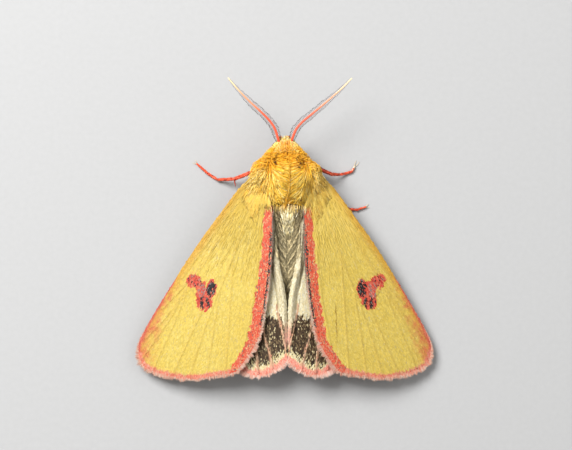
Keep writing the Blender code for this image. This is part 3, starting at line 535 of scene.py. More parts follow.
def root_hair(sheet, level, tones_of, side, rng, count):
    """Long hair-scales on the wing's inner half, which follow the sheet's lines outwards and thin out."""
    u, v = rng.uniform(0.02, 0.97, count), 0.5 * rng.beta(0.9, 2.2, count)
    line_length = np.linalg.norm(np.diff(sheet, axis=1), axis=2).sum(1)
    reach = rng.uniform(0.5, 1.3, count) / np.interp(u, np.linspace(0, 1, len(line_length)), line_length)
    steps, drift = 5, rng.normal(0, 0.012, count)
    t = np.linspace(0, 1, steps)
    spots = on_sheet(sheet, np.clip(u[:, None] + drift[:, None] * t, 0.01, 0.99).ravel(),
                     np.clip(v[:, None] + reach[:, None] * t, 0, 1).ravel())
    x, y = spots.T
    arch = rng.uniform(0.0, 0.06, (count, 1)) * np.sin(np.pi * (0.1 + 0.8 * t))
    z = (level(x, y) + 0.035).reshape(count, steps) + arch
    routes = np.concatenate([spots.reshape(count, steps, 2), z[..., None]], axis=2)
    ahead = routes[:, -1] - routes[:, 0]
    across = unit(np.column_stack([-ahead[:, 1], ahead[:, 0], np.zeros(count)]))
    ground = tones_of(routes[:, 3, 0], routes[:, 3, 1], side, rng)
    silk = pick(("#F2D070", "#EDC656", "#E2B840", "#F8E090"), (3, 4, 2, 1), rng.random(count))
    tones = blend(silk, ground, 0.5 + 0.4 * v / 0.5) * 1.22
    edge = np.interp(-routes[:, :, 1], -BAND_EDGE[:, 1], BAND_EDGE[:, 0])
    kept = ((routes[:, :, 0] > edge + 0.05) | (routes[:, :, 1] > 1.4 + rng.random((count, 1)))).all(axis=1)
    return hairs(routes[kept], across[kept], rng.uniform(0.035, 0.062, count)[kept], tones[kept], tones[kept],
                 bake_place(u, v)[kept])


forewing_scale_skin = wing_scale_material("forewing_scales_straw", 0.485)


def forewing_cilia_tones(y, rng):
    """Salmon pink with pale tips round the outer margin, turning to pinkish beige along the inner one, which
    is darkened towards its front end as painted shade beside the body.
    """
    n = len(y)
    beige = fade(-y, 8.6, 10.2)
    root = blend(pick(("#FFA88C", "#FC987C", "#FFB89E"), (1, 1, 1), rng.random(n)),
                 pick(("#E6BEA0", "#F0CFB4"), (1, 1), rng.random(n)), beige)
    tip = blend(pick(("#FFD2B8", "#FFE8D2", "#FFB498"), (1, 1, 1), rng.random(n)),
                pick(("#F3DAC2", "#E0B8A4"), (1, 1), rng.random(n)), beige)
    # Painted shade: the inner edge's fringe darkened towards its front end, where it lies beside the body
    fringe_shade_forward = fade(-y, 3.5, 6.5)[:, None] * (0.55, 0.6, 0.6)
    return root * (1 - fringe_shade_forward), tip * (1 - fringe_shade_forward)


def forewing_cilia_reach(x, y):
    """Fringe length: half a millimetre round the outer margin, less up the inner edge and the costa."""
    return np.where(x > 9.0, np.interp(-y, (9.6, 11.4, 12.8), (0.05, 0.2, 0.52)),
                    np.interp(-y, (7.5, 9.5, 11.0, 12.0), (0.2, 0.32, 0.46, 0.52)))


RIM = np.vstack([COSTA[-28:-1], MARGIN, INNER[-2:24:-1]])
MARGIN_SHARE = 0.5


def forewing_cilia_patch(t, layer):
    """Bake places of the fringe: along the unwrap's far edge, then up its inner edge."""
    u = np.interp(t, (0, MARGIN_SHARE, 1), (0.015, 0.985, 0.985)) - 0.01 * layer * (t > MARGIN_SHARE)
    return np.stack([u, np.interp(t, (0, MARGIN_SHARE, 1), (0.975, 0.975, 0.08)) - 0.01 * layer], axis=1)


for side, side_name in ((-1, "left"), (1, "right")):
    rng = np.random.default_rng(21 + side)
    sheet = FORE_SHEET[::2, ::2]
    x, y = sheet[..., 0], sheet[..., 1]
    z = forewing_level(x, y)
    membrane = make_piece(
        f"forewing_skin_{side_name}",
        [closed_sheet(np.stack([x, y, z], -1), np.stack([x, y, z - WING_THICK], -1),
                      forewing_tones(x, y, side, rng) * 0.98)],
        forewing_scale_skin, mirrored=side < 0)
    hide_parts(f"forewing_{side_name}")
    coat = [lay_scales(FORE_SHEET, forewing_level, forewing_tones, side, rng, FORE_ROWS, FORE_GAP,
                       FORE_SCALE)]
    coat.append(root_hair(FORE_SHEET, forewing_level, forewing_tones, side, rng, ROOT_HAIRS))
    coat += fringe(RIM, forewing_level, forewing_cilia_reach, rng, 3, 0.065, forewing_cilia_tones,
                   forewing_cilia_patch)
    make_piece(f"forewing_scales_{side_name}", coat, forewing_scale_skin,
               mirrored=side < 0, smooth=False)

# Hindwings: softer membranes folded under the forewings, of which only the inner parts show along the
# back. Grey and cream hair-scales near the body, a sooty field behind, pale veins, a cream rim and a
# pink fringe. Each inner edge is rolled into a rounded pleat beside the body.

HIND_COSTA = smooth_line(((2.75, 3.3), (4.95, 0.0), (7.2, -5.0), (8.15, -10.0), (7.55, -12.1), (6.6, -13.0)),
                         121)
HIND_MARGIN = smooth_line(((6.6, -13.0), (5.6, -13.45), (4.5, -13.72), (3.6, -14.1), (2.75, -14.15),
                           (1.75, -13.88), (0.95, -13.4), (0.04, -12.68)), 91)
HIND_INNER = smooth_line(((1.55, 2.2), (1.3, 0.9), (1.12, -0.6), (0.86, -3.0), (0.45, -4.9), (0.12, -6.9),
                          (0.04, -9.5), (0.04, -12.68)), 121)
HIND_ROOT = smooth_line(((2.75, 3.3), (2.2, 2.8), (1.55, 2.2)), 91)
HIND_VEINS = [smooth_line(vein, 30) for vein in (
    ((2.6, 3.0), (4.2, -0.6), (6.2, -5.6), (7.2, -10.2)),
    ((2.5, 2.6), (3.6, -1.5), (4.4, -5.6), (5.4, -12.6)),
    ((4.4, -5.6), (4.3, -9.4), (4.2, -13.6)),
    ((2.3, 2.2), (2.9, -2.6), (3.15, -8.6), (2.95, -14.0)),
    ((2.0, 2.2), (1.95, -3.2), (2.45, -8.9), (1.62, -12.6), (1.5, -13.7)),
    ((1.75, 1.9), (1.35, -2.2), (1.08, -7.2), (0.6, -9.6), (0.15, -11.8)),
)]
HIND_SHEET = wing_sheet(HIND_COSTA, HIND_INNER, HIND_ROOT, HIND_MARGIN)
STACK = 0.85              # the hindwing's upper side below the forewing's
HIND_SCALE = (0.3, 0.105)
HIND_ROWS, HIND_GAP = 0.135, 0.1
HIND_FRINGE = 0.58


def hindwing_level(x, y):
    """Height of the hindwing's upper side: the forewing's less the stack, with veins and inner pleat."""
    from_inner = away(x, y, [HIND_INNER])
    pleat = 0.3 * np.exp(-((from_inner - 0.34) / 0.27) ** 2)
    groove = 0.16 * np.exp(-((from_inner - 0.86) / 0.12) ** 2)
    fold = fade(-y, 9.0, 11.5) * fade(y, -4.0, -1.4)
    return wing_top(x, y) - STACK - 0.08 + vein_rise(x, y, HIND_VEINS, 0.08, 0.1) + (pleat - groove) * fold


def hindwing_tones(x, y, side, rng):
    """Colour of each place on a hindwing: grey to cream, sooty field, veins, pleat, cream and pink rim."""
    n = x.shape
    chance, jitter = rng.random(n), rng.random(n)
    ragged = rolling(x + 40, y + 40, 0.3, 15 + side) - 0.5
    from_inner, from_margin = away(x, y, [HIND_INNER]), away(x, y, [HIND_MARGIN])
    grey = pick(("#D2C39C", "#E3D6B2", "#B5A581", "#F2E8C8"), (4, 4, 2, 2), chance)
    cream = pick(("#FFF0C0", "#FFF8DA", "#FCEAB4", "#E8D4A4"), (44, 34, 15, 7), chance)
    tones = blend(grey, cream, fade(y, -5.5, -1.5))
    soot = pick(("#44321F", "#584430", "#2E2115", "#8A7250", "#E6D2A0"), (38, 30, 14, 12, 6), chance)
    field = (fade(y + 1.3 * ragged, -8.7, -8.0) > jitter) & (from_margin + 0.7 * ragged > 0.55)
    tones = blend(tones, soot, field * 1.0)
    cream_rim = (from_margin + 0.5 * ragged < 0.6 + 0.7 * chance) & (y < -8.0)
    tones = blend(tones, pick(("#F1E2AE", "#E6D296", "#FBF1CC"), (4, 3, 2), jitter), cream_rim * 1.0)
    pale_vein = np.exp(-(away(x, y, HIND_VEINS) / 0.075) ** 2) * fade(y, -8.0, -6.5)
    tones = blend(tones, pick(("#E5B58E", "#EFC5A2", "#DB9E7C"), (4, 3, 2), jitter), (pale_vein > 0.35) * 1.0)
    pleat = fade(from_inner, 0.62, 0.76) * fade(-y, 10.6, 11.6) * fade(y, -4.2, -1.8)
    roll_tone = pick(("#F0E2B8", "#FBF1D0", "#DCCB9E"), (4, 4, 2), jitter)
    roll_tone = blend(roll_tone, pick(("#F2C3A4", "#F4AE98"), (1, 1), jitter), fade(y, -10.2, -8.4))
    narrow = from_inner < 0.72 - 0.44 * fade(y, -10.0, -7.0)
    tones = blend(tones, roll_tone, pleat * narrow)
    shade = np.exp(-((from_inner - 0.84) / 0.08) ** 2) * fade(-y, 7.0, 8.4) * fade(y, -4.2, -1.8)
    tones = blend(tones, linear("#7D6F55"), 0.6 * shade)
    pink = fade(from_margin + 0.25 * ragged, 0.42, 0.6) * fade(y, -8.0, -7.0)
    tones = blend(tones, pick(("#FFA08A", "#FFB8A2", "#FC8E76"), (4, 3, 3), jitter), pink)
    return tones


hindwing_scale_skin = wing_scale_material("hindwing_scales_cream_and_soot", 0.6)


def hindwing_cilia_tones(y, rng):
    """Salmon pink hairs with pale tips."""
    n = len(y)
    return (pick(("#FFB09A", "#FF9E86", "#FFC4AE"), (1, 1, 1), rng.random(n)),
            pick(("#FFDCC8", "#FFEBDC", "#FBBBA4"), (1, 1, 1), rng.random(n)))


def hindwing_cilia_patch(t, layer):
    """Bake places of the fringe: along the unwrap's far edge."""
    return np.stack([0.015 + 0.97 * t, np.full(len(t), 0.975 - 0.01 * layer)], axis=1)


for side, side_name in ((-1, "left"), (1, "right")):
    rng = np.random.default_rng(41 + side)
    x, y = HIND_SHEET[::2, ::2, 0], HIND_SHEET[::2, ::2, 1]
    z = hindwing_level(x, y)
    membrane = make_piece(
        f"hindwing_skin_{side_name}",
        [closed_sheet(np.stack([x, y, z], -1), np.stack([x, y, z - WING_THICK], -1),
                      hindwing_tones(x, y, side, rng) * 0.9)],
        hindwing_scale_skin, mirrored=side < 0)
    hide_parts(f"hindwing_{side_name}")
    coat = [lay_scales(HIND_SHEET, hindwing_level, hindwing_tones, side, rng, HIND_ROWS, HIND_GAP,
                       HIND_SCALE)]
    coat += fringe(HIND_MARGIN, hindwing_level, lambda x, y: np.full(len(y), HIND_FRINGE), rng, 3, 0.06,
                   hindwing_cilia_tones, hindwing_cilia_patch, 0.08)
    make_piece(f"hindwing_scales_{side_name}", coat, hindwing_scale_skin,
               mirrored=side < 0, smooth=False)

# Body: one soft skin over head, thorax and abdomen, thickly covered by silky hair. The hair lies back
# from the head in a crest along the thorax and over the wings' roots, stands out as a collar in front,
# and runs in a herringbone down the abdomen between the wings.

BODY_SKIN = smooth_line((
    (-8.85, 0.0, 0.98, 0.03, 0.03, 0.03), (-8.5, 0.0, 1.03, 0.5, 0.36, 0.34),
    (-7.5, 0.0, 1.15, 0.98, 0.68, 0.66),
    (-6.0, 0.0, 1.34, 1.3, 0.88, 0.85), (-4.0, 0.0, 1.58, 1.5, 1.0, 0.95), (-2.0, 0.0, 1.82, 1.52, 1.02, 1.0),
    (0.0, 0.0, 2.06, 1.42, 0.98, 0.95), (1.5, 0.0, 2.3, 1.35, 0.98, 0.95), (2.6, 0.0, 2.75, 1.5, 1.2, 1.15),
    (3.4, 0.0, 3.05, 1.9, 1.6, 1.4), (4.4, 0.0, 3.25, 2.1, 1.85, 1.6), (5.4, 0.0, 3.4, 2.15, 1.85, 1.65),
    (6.2, 0.0, 3.5, 1.9, 1.65, 1.5), (6.9, -0.05, 3.5, 1.4, 1.3, 1.2), (7.4, -0.15, 3.35, 1.05, 1.0, 0.95),
    (8.0, -0.2, 3.2, 1.0, 0.98, 0.95), (8.5, -0.2, 3.2, 0.92, 0.88, 0.9), (8.85, -0.2, 3.2, 0.6, 0.6, 0.6),
    (9.0, -0.2, 3.2, 0.03, 0.03, 0.03)), 161)
COAT_FORM = smooth_line((
    (-9.9, 0.0, 1.1, 0.05, 0.1, 0.1), (-9.3, 0.0, 1.12, 0.6, 0.45, 0.45), (-8.2, 0.0, 1.2, 1.15, 0.85, 0.75),
    (-6.0, 0.0, 1.45, 1.6, 1.15, 0.95), (-3.0, 0.0, 1.85, 1.75, 1.35, 1.15), (0.0, 0.0, 2.3, 1.7, 1.5, 1.3),
    (1.5, 0.0, 2.9, 2.1, 1.7, 1.6), (2.5, 0.0, 3.4, 2.6, 1.8, 1.9), (3.5, 0.0, 3.7, 3.1, 1.95, 2.0),
    (4.5, -0.05, 3.85, 3.4, 2.05, 2.1), (5.3, -0.15, 3.95, 3.5, 2.1, 2.2), (5.9, -0.22, 4.0, 3.5, 2.0, 2.2),
    (6.5, -0.25, 3.95, 3.3, 1.85, 2.1), (7.1, -0.25, 3.85, 2.75, 1.6, 1.95),
    (7.7, -0.25, 3.7, 2.05, 1.35, 1.75),
    (8.3, -0.2, 3.5, 1.45, 1.2, 1.5), (8.9, -0.2, 3.45, 0.85, 0.95, 1.1), (9.35, -0.2, 3.45, 0.3, 0.45, 0.5),
    (9.5, -0.2, 3.45, 0.03, 0.05, 0.05)), 161)


def on_form(form, y, angle):
    """A point of a form at y and an angle from its top: half-width by sine, height by cosine."""
    mid_x, mid_z, wide, up, down = [np.interp(y, form[:, 0], form[:, k]) for k in range(1, 6)]
    rise = np.where(np.cos(angle) > 0, up, down) * np.cos(angle)
    return np.stack([mid_x + wide * np.sin(angle), y + 0 * angle, mid_z + rise], axis=-1)


def wing_over(x, y):
    """Whether a forewing, and a hindwing, lies over each place: the place is between its two edges."""
    out = np.abs(x)
    inner = np.interp(-y, np.append(-5.9, -INNER[:-25, 1]), np.append(2.45, INNER[:-25, 0]))
    fore = (out > inner) & (out < np.interp(-y, -COSTA[:, 1], COSTA[:, 0])) & (y < 5.85) & (y > -12.2)
    hind_inner = np.interp(-y, -HIND_INNER[:, 1], HIND_INNER[:, 0])
    hind = (out > hind_inner) & (out < np.interp(-y, -HIND_COSTA[:100, 1], HIND_COSTA[:100, 0]))
    return fore, hind & (y < 3.0) & (y > -12.7)


def clear_of_wings(points, above):
    """Lifts places over the wings to just above them, or presses places under the wings to just below."""
    x, y, z = points[..., 0], points[..., 1], points[..., 2]
    fore, hind = wing_over(x, y)
    level = np.where(fore, wing_top(x, y), wing_top(x, y) - STACK)
    if above:
        z = np.where(fore | hind, np.maximum(z, level + np.where(fore, 0.0, 0.08)), z)
    else:
        floor_of_wing = np.where(hind, wing_top(x, y) - STACK, wing_top(x, y)) - 0.36
        z = np.where(fore | hind, np.minimum(z, floor_of_wing), z)
    return np.stack([x, y, np.maximum(z, 0.12)], axis=-1)


def spread_evenly(count, rng, low, high):
    """Even but irregular pairs between two corners: steps of two unrelated fractions, then a jitter."""
    i = np.arange(count)[:, None]
    share = (0.5 + i * np.array([0.7548776662, 0.5698402910]) + rng.uniform(-0.01, 0.01, (count, 2))) % 1.0
    return np.asarray(low) + share * (np.asarray(high) - np.asarray(low))


def body_place(y, angle):
    """Place on the body's unwrap, which is cut along the belly."""
    return bake_place((angle / (2 * np.pi) + 0.5) % 1.0, (y + 9.0) / 18.2)


def half_turn(angle):
    """The same angles counted from the back's middle, from -pi to pi."""
    return np.where(angle > np.pi, angle - 2 * np.pi, angle)


def lay_hair(rng, y, angle, turn, length, rise, width, root, tip, above=True, steps=5, curl=0.08):
    """Hairs from the skin out to a share of the coat's form, turned from straight ahead by an angle. Each
    starts on the skin, moves along both forms together, and leaves the skin ever less steeply."""
    t = np.linspace(0, 1, steps)[None]
    girth = np.maximum(np.interp(y, COAT_FORM[:, 0], COAT_FORM[:, 3]), 0.7)
    bend = rng.normal(0, curl, len(y))
    y_path = y[:, None] + (length * np.cos(turn))[:, None] * t
    swing = (length * np.sin(turn) / girth)[:, None] * t + bend[:, None] * t ** 2
    a_path = angle[:, None] + swing
    crossing = (angle[:, None] * a_path < 0) & (np.abs(angle[:, None]) < 1.2)
    a_path = np.where(crossing, 0.1 * a_path, a_path)
    share = (rise[:, None] * (1 - (1 - t) ** 2))[..., None]
    path = on_form(BODY_SKIN, y_path, a_path) * (1 - share) + on_form(COAT_FORM, y_path, a_path) * share
    path[:, 1:] = clear_of_wings(path[:, 1:], above)
    outward = np.stack([np.sin(a_path[:, 2]), 0 * y, np.cos(a_path[:, 2])], axis=1)
    across = unit(np.cross(path[:, -1] - path[:, 0], outward))
    across = across * np.cos(bend * 3)[:, None] + outward * np.sin(bend * 3)[:, None]
    return hairs(path, across, width, root, tip, body_place(y, angle))


def body_tones(y, angle, rng):
    """The coat's colour at each root: orange-gold collar and crest, golden back, cream and grey herringbone
    on the abdomen, brown below, with painted shade in the middle of the head and painted shadow in brown
    either side of the cream tuft."""
    n = y.shape
    chance, jitter = rng.random(n), rng.random(n)
    out = np.abs(angle)
    patchy = rolling(y + 30, angle * 2.2 + 30, 0.5, 61)
    gold = pick(("#FDD24C", "#FEE070", "#F7C236", "#FFEE9E", "#E9AE26"), (38, 28, 18, 10, 6), chance)
    crest = pick(("#E8A31E", "#D88F12", "#F2B634"), (4, 3, 3), jitter)
    tones = blend(gold, crest, fade(out, 0.08, 0.45) * (0.55 + 0.35 * fade(-y, -5.4, -4.4)))
    shoulder = pick(("#FEE080", "#FCD464", "#FFEBA4"), (4, 4, 2), jitter)
    tones = blend(tones, shoulder, fade(-out, -0.8, -0.4) * fade(y, 5.8, 6.8) * 0.85)
    collar = pick(("#FBB822", "#F4A915", "#FDCB44", "#D98F16"), (4, 3, 2, 1), jitter)
    tones = blend(tones, collar * 0.94, fade(-y, -6.9, -6.0) * fade(y, 7.7, 8.1) * 0.85)
    crown = pick(("#FBE48C", "#FEF2BC", "#F8CF5C", "#F2A82A"), (4, 3, 2, 1), chance)
    tones = blend(tones, crown, fade(-y, -8.2, -7.75))
    # Painted shade: deeper orange in the middle of the head, between crown and collar
    head_centre_shade = pick(("#EE9A18", "#E08814", "#F6B43A"), (4, 3, 2), jitter)
    tones = blend(tones, head_centre_shade, fade(out, 0.3, 0.55) * np.exp(-((y - 8.2) / 0.2) ** 2))
    over_wing = pick(("#EFCB5A", "#E6BC48", "#F5D876", "#D6A63A"), (4, 3, 2, 1), chance)
    tones = blend(tones, over_wing, fade(-out, -0.75, -0.45) * fade(y, 4.0, 5.2) * 0.85)
    fur = pick(("#DCCB9F", "#C8B68B", "#EFDFB5", "#A5926A", "#FCF2D0"), (32, 26, 22, 10, 10), chance)
    tuft = pick(("#FFF0B4", "#FFF9D8", "#F8E29A"), (4, 3, 2), jitter)
    fur = blend(fur, tuft, fade(out, 0.32, 0.5) * fade(-y, -0.9, -0.3) * fade(y, 3.2, 3.8))
    brown = pick(("#4A3B2C", "#6A573F", "#2F251C"), (4, 3, 2), jitter)
    # Painted shadow: brown either side of the abdomen's cream tuft
    flank_shadow = np.exp(-((out - 0.66) / 0.13) ** 2) * fade(-y, -0.4, 0.4) * (patchy > 0.3)
    fur = blend(fur, brown, np.clip(flank_shadow, 0, 1) * 0.85)
    fur = blend(fur, brown, 0.8 * fade(out, 0.2, 0.35) * np.exp(-((y + 0.3) / 0.35) ** 2))
    tones = blend(tones, fur, fade(y, 2.75, 3.05))
    below = pick(("#8A6034", "#A5763A", "#6E4526", "#C08F48"), (4, 3, 2, 2), chance)
    return blend(tones, below, fade(-out, -2.1, -1.7) * 0.85)


# Silky hair-scales: fine hollow chitin hairs, which shine softly along their length; their grain of
# 0.01 mm is drawn at 0.08 so that it shows
silky_hair = toned_material("silky_hair_scales", 12, 0.85, 1.15, 0.2, 0.02, Roughness=0.48,
                            Specular_IOR_Level=0.3, **SATIN)


def ring_faces(rows, corners):
    """Triangles of a closed skin of rings, with a fan at each end to a point put after the rings."""
    grid = np.arange(rows * corners).reshape(rows, corners)
    round_grid = np.roll(grid, -1, axis=1)
    quads = np.stack([grid[:-1], grid[1:], round_grid[1:], round_grid[:-1]], -1).reshape(-1, 4)
    ends = np.vstack([np.stack([np.full(corners, grid.size), grid[0], round_grid[0]], 1),
                      np.stack([np.full(corners, grid.size + 1), round_grid[-1], grid[-1]], 1)])
    return np.vstack([quads[:, [0, 1, 2]], quads[:, [0, 2, 3]], ends])


rng = np.random.default_rng(7)
ring = np.linspace(-np.pi, np.pi, 73)[:-1]
skin_y, skin_angle = np.meshgrid(BODY_SKIN[::-1, 0], ring, indexing="ij")
skin_points = on_form(BODY_SKIN, skin_y, skin_angle)
skin_points = np.vstack([skin_points.reshape(-1, 3), skin_points[0].mean(0), skin_points[-1].mean(0)])
skin_tones = body_tones(skin_y.ravel(), skin_angle.ravel(), rng) * 0.45
skin_tones = np.vstack([skin_tones, skin_tones[0], skin_tones[-1]])
body_skin = make_piece("body_skin", [(skin_points, ring_faces(*skin_y.shape), skin_tones, None)],
                       silky_hair)
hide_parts("head", "thorax", "tegula_left", "tegula_right", "abdomen")


def shaded(rng, y, angle, dim=0.72):
    """Root and tip colours for hairs: the coat's colour, darker and more orange where they leave the skin."""
    tip = body_tones(y, angle, rng) * rng.uniform(0.88, 1.1, (len(y), 1))
    return tip * dim * (1.14, 0.96, 0.66), tip


def over_back(form, x, y):
    """Height of a form's upper side: its middle height plus half an ellipse across its width."""
    mid_x, mid_z, wide, up = [np.interp(y, form[:, 0], form[:, k]) for k in range(1, 5)]
    return mid_z + up * np.sqrt(np.clip(1 - ((x - mid_x) / wide) ** 2, 0, 1))


def middle_line(y):
    """The crest's place across the body, which bends a little to the left at its end."""
    return -0.3 * fade(y, 2.2, 4.2)


def back_flow(x, y):
    """Heading of the back's hair seen from above, as a turn from straight back towards the crest.
    Between crest and shoulder it turns inwards, most at the neck, and past the shoulder's whorl outwards."""
    out = np.abs(x - middle_line(y))
    inner = np.interp(y, (2.5, 3.5, 4.5, 5.5, 6.4, 7.4, 8.0), (0.8, 0.85, 1.0, 1.2, 1.4, 1.2, 0.6))
    beside = np.interp(y, (3.5, 4.5, 5.5, 6.4, 7.2), (0.06, 0.12, 0.4, 1.1, 1.0))
    outer = np.interp(y, (3.5, 4.5, 5.5, 6.4, 7.2), (0.14, 0.22, 0.45, 0.95, 1.3))
    turn = beside + (inner - beside) * np.clip((1.75 - out) / 1.0, 0, 1)
    outer = outer + 0.4 * np.clip((out - 2.3) / 1.2, 0, 1) * fade(y, 4.8, 6.0)
    return turn - (turn + outer) * np.clip((out - 1.5) / 0.8, 0, 1)


def lie_on_back(rng, x, y, length, rise, width, root, tip, wander, steps=5):
    """Hairs that step along the flow and rise from the skin to a share of the coat's height."""
    hand = np.where(x > middle_line(y), 1.0, -1.0)
    spots = [np.stack([x, y], axis=1)]
    own_reach = rng.uniform(0.84, 1.04, len(x))
    for _ in range(steps - 1):
        here_x, here_y = spots[-1].T
        turn = back_flow(here_x, here_y) + wander
        new_x = here_x - hand * np.sin(turn) * length / (steps - 1)
        new_y = here_y - np.cos(turn) * length / (steps - 1)
        new_x = np.where((new_x - middle_line(new_y)) * hand < 0.02, middle_line(new_y) + 0.02 * hand, new_x)
        reach = np.interp(new_y, COAT_FORM[:, 0], COAT_FORM[:, 3]) * own_reach + 1.5 * fade(new_y, 4.2, 5.4)
        over = np.abs(new_x + 0.2) > reach
        new_x = np.where(over, hand * reach - 0.2, new_x)
        new_y = np.where(over, here_y - 0.5 * length / (steps - 1), new_y)
        spots.append(np.stack([new_x, new_y], axis=1))
    spots = np.stack(spots, axis=1)
    t = np.linspace(0, 1, steps)[None]
    share = rise[:, None] * (1 - (1 - t) ** 2.2)
    x_path, y_path = spots[..., 0], spots[..., 1]
    ridge = 0.12 * np.exp(-((x_path - middle_line(y_path)) / 0.3) ** 2) * fade(-y_path, -4.0, -3.0)
    skin_z, coat_z = over_back(BODY_SKIN, x_path, y_path), over_back(COAT_FORM, x_path, y_path) + ridge
    on_wing = np.clip((np.abs(x_path) - 1.4) / 0.5, 0, 1)
    lowest = (wing_top(x_path, y_path) + 0.02) * on_wing + (coat_z - 0.55) * (1 - on_wing)
    settle = 1 - 0.95 * t ** 2 * on_wing * fade(y_path, 3.6, 5.2)
    flatten = (0.08 + 0.92 * fade(-y_path, -6.4, -1.4)) * settle
    coat_z = lowest + (np.maximum(coat_z, lowest) - lowest) * flatten
    z_path = skin_z * (1 - share) + coat_z * share
    route = np.stack([x_path, y_path, z_path], axis=-1)
    route[:, 1:] = clear_of_wings(route[:, 1:], True)
    ahead = route[:, -1] - route[:, 0]
    across = unit(np.column_stack([-ahead[:, 1], ahead[:, 0], rng.normal(0, 0.3, len(x))]))
    return hairs(route, across, width, root, tip, body_place(y, np.arcsin(np.clip(x / 3.6, -1, 1))))


# Long hair of the back: parts at a whorl on each shoulder, sweeps in to the crest, ends behind in a point
# over the abdomen, and fans back and outwards over the wings' roots
rng = np.random.default_rng(71)
x, y = spread_evenly(11000, rng, (-3.7, 1.4), (3.5, 7.75)).T
skin_width = np.interp(y, COAT_FORM[:, 0], COAT_FORM[:, 3])
out = np.abs(x - middle_line(y))
thin = np.interp(y, (1.4, 2.6, 4.0), (0.25, 0.6, 1.0)) * np.interp(out, (1.5, 3.8), (1.0, 0.6))
keep = np.where(y < 4.6, (rng.random(len(x)) < thin) & ((out > 2.5) | (y > 2.9)),
                np.abs(x + 0.1) < 0.84 * skin_width)
x, y, skin_width, out = x[keep], y[keep], skin_width[keep], out[keep]
clump = rolling(x * 1.6 + 30, y + 30, 0.42, 91)
wander = (clump - 0.5) * np.where(out < 1.5, 0.45, 0.2) + rng.normal(0, 0.07, len(x))
length = rng.uniform(1.3, 2.4, len(x)) * fade(y, 6.7, 8.8)
turn = np.maximum(np.cos(back_flow(x, y - 0.6)), 0.35)
end_y = np.where(out < 1.3, 2.0 + 0.75 * out, 2.7 - np.where(out > 2.6, 2.4, 0.7) * rng.random(len(x)) ** 1.5)
length = np.clip(np.minimum(length, (y - end_y) / turn), 0.45, None)
angle = np.arcsin(np.clip(x / (skin_width + 0.2), -1, 1))
root, tip = shaded(rng, np.maximum(y - 0.3, 3.2), angle, 0.84)
flat_root = np.clip((np.abs(x) - 1.5) / 0.7, 0, 1) * fade(y, 3.4, 4.6)
flat_tip = np.clip((np.abs(x) - 1.4) / 0.7, 0, 1) * fade(y, 4.6, 6.0)
root, tip = root * (1 - 0.3 * flat_root)[:, None], tip * (1 - np.where(x < 0, 0.36, 0.16) * flat_tip)[:, None]
streak = (0.88 + 0.24 * rolling((x + 0.25 * np.sign(x) * y) * 5.0 + 60, y * 1.2 + 30, 0.4, 93))[:, None]
back_hair = lie_on_back(rng, x, y, length, rng.uniform(0.6, 1.02, len(x)) * (0.84 + 0.16 * clump),
                        rng.uniform(0.045, 0.075, len(x)), root * streak, tip * streak, wander)
make_piece("thorax_back_hair", [back_hair], silky_hair)

# Collar: dense shorter hair that stands out sideways and forward round the neck, with painted shadow
# in the gaps between its tufts: short dark hairs laid there
rng = np.random.default_rng(73)
y, angle = spread_evenly(4200, rng, (5.0, -1.95), (7.9, 1.95)).T
out = np.abs(angle)
keep = out > np.interp(y, (5.0, 6.2, 7.2, 7.9), (1.15, 0.95, 0.8, 0.65))
y, angle, out = y[keep], angle[keep], out[keep]
turn = np.interp(y, (5.0, 6.0, 6.8, 7.9), (2.8, 2.4, 1.4, 0.75)) * np.sign(angle)
turn = turn + rng.normal(0, 0.25, len(y))
loose = rng.random(len(y)) < 0.1
length = rng.uniform(0.35, 0.8, len(y)) + 0.15 * loose
tuft = rolling(y * 1.3 + 30, angle * 3 + 30, 0.5, 95)
root, tip = shaded(rng, y, angle, 0.5)
rise = rng.uniform(0.68, 0.96, len(y)) * (0.86 + 0.2 * tuft) + 0.1 * loose
collar_hair = lay_hair(rng, y, angle, turn, length, rise, rng.uniform(0.07, 0.11, len(y)), root, tip,
                       curl=0.12)
# Painted shadow: short dark hairs laid in the gaps between the collar's tufts, and at two spots on the back
# behind them
gaps = np.array(((-1.3, 7.65), (-1.42, 7.5), (-1.55, 6.85), (1.15, 7.3), (1.0, 7.1), (1.15, 6.35),
                 (1.3, 6.75), (1.3, 3.15), (0.8, 2.45)))
x, y = np.repeat(gaps, 7, axis=0).T + rng.normal(0, 0.05, (2, 7 * len(gaps)))
gap_shadow_tone = pick(("#5A3310", "#7C4A16", "#3A210C"), (3, 3, 2), rng.random(len(x)))
gap_shadow_hair = lie_on_back(rng, x, y, np.full(len(x), 0.28), rng.uniform(0.96, 0.99, len(x)),
                       np.full(len(x), 0.08), gap_shadow_tone, gap_shadow_tone, rng.normal(0, 0.2, len(x)), steps=4)

# Head: a pale tuft on the crown, brows that overhang the eyes, and short hair on the neck and face
y, angle = spread_evenly(1700, rng, (7.75, -1.2), (8.95, 1.2)).T
turn = 0.85 * angle + rng.normal(0, 0.3, len(y))
loose = rng.random(len(y)) < 0.12
length = rng.uniform(0.35, 0.8, len(y)) * np.where(y > 8.5, 0.6, 1.0) + 0.2 * loose
root, tip = shaded(rng, y, angle, 0.6)
crown_hair = lay_hair(rng, y, angle, turn, length, rng.uniform(0.6, 1.0, len(y)) + 0.14 * loose,
                      rng.uniform(0.055, 0.09, len(y)), root, tip)
y, angle = spread_evenly(800, rng, (7.2, -1.1), (8.2, 1.1)).T
root, tip = shaded(rng, y, angle, 0.6)
neck_hair = lay_hair(rng, y, angle, rng.uniform(-np.pi, np.pi, len(y)), rng.uniform(0.08, 0.4, len(y)),
                     rng.uniform(0.8, 1.03, len(y)), rng.uniform(0.055, 0.09, len(y)), root, tip, steps=4)
y = rng.uniform(7.5, 8.75, 900)
angle = rng.uniform(0.7, 1.2, 900) * rng.choice((-1.0, 1.0), 900)
turn = np.sign(angle) * rng.normal(1.15, 0.3, 900)
root, tip = shaded(rng, y - 0.3, angle * 0.8, 0.5)
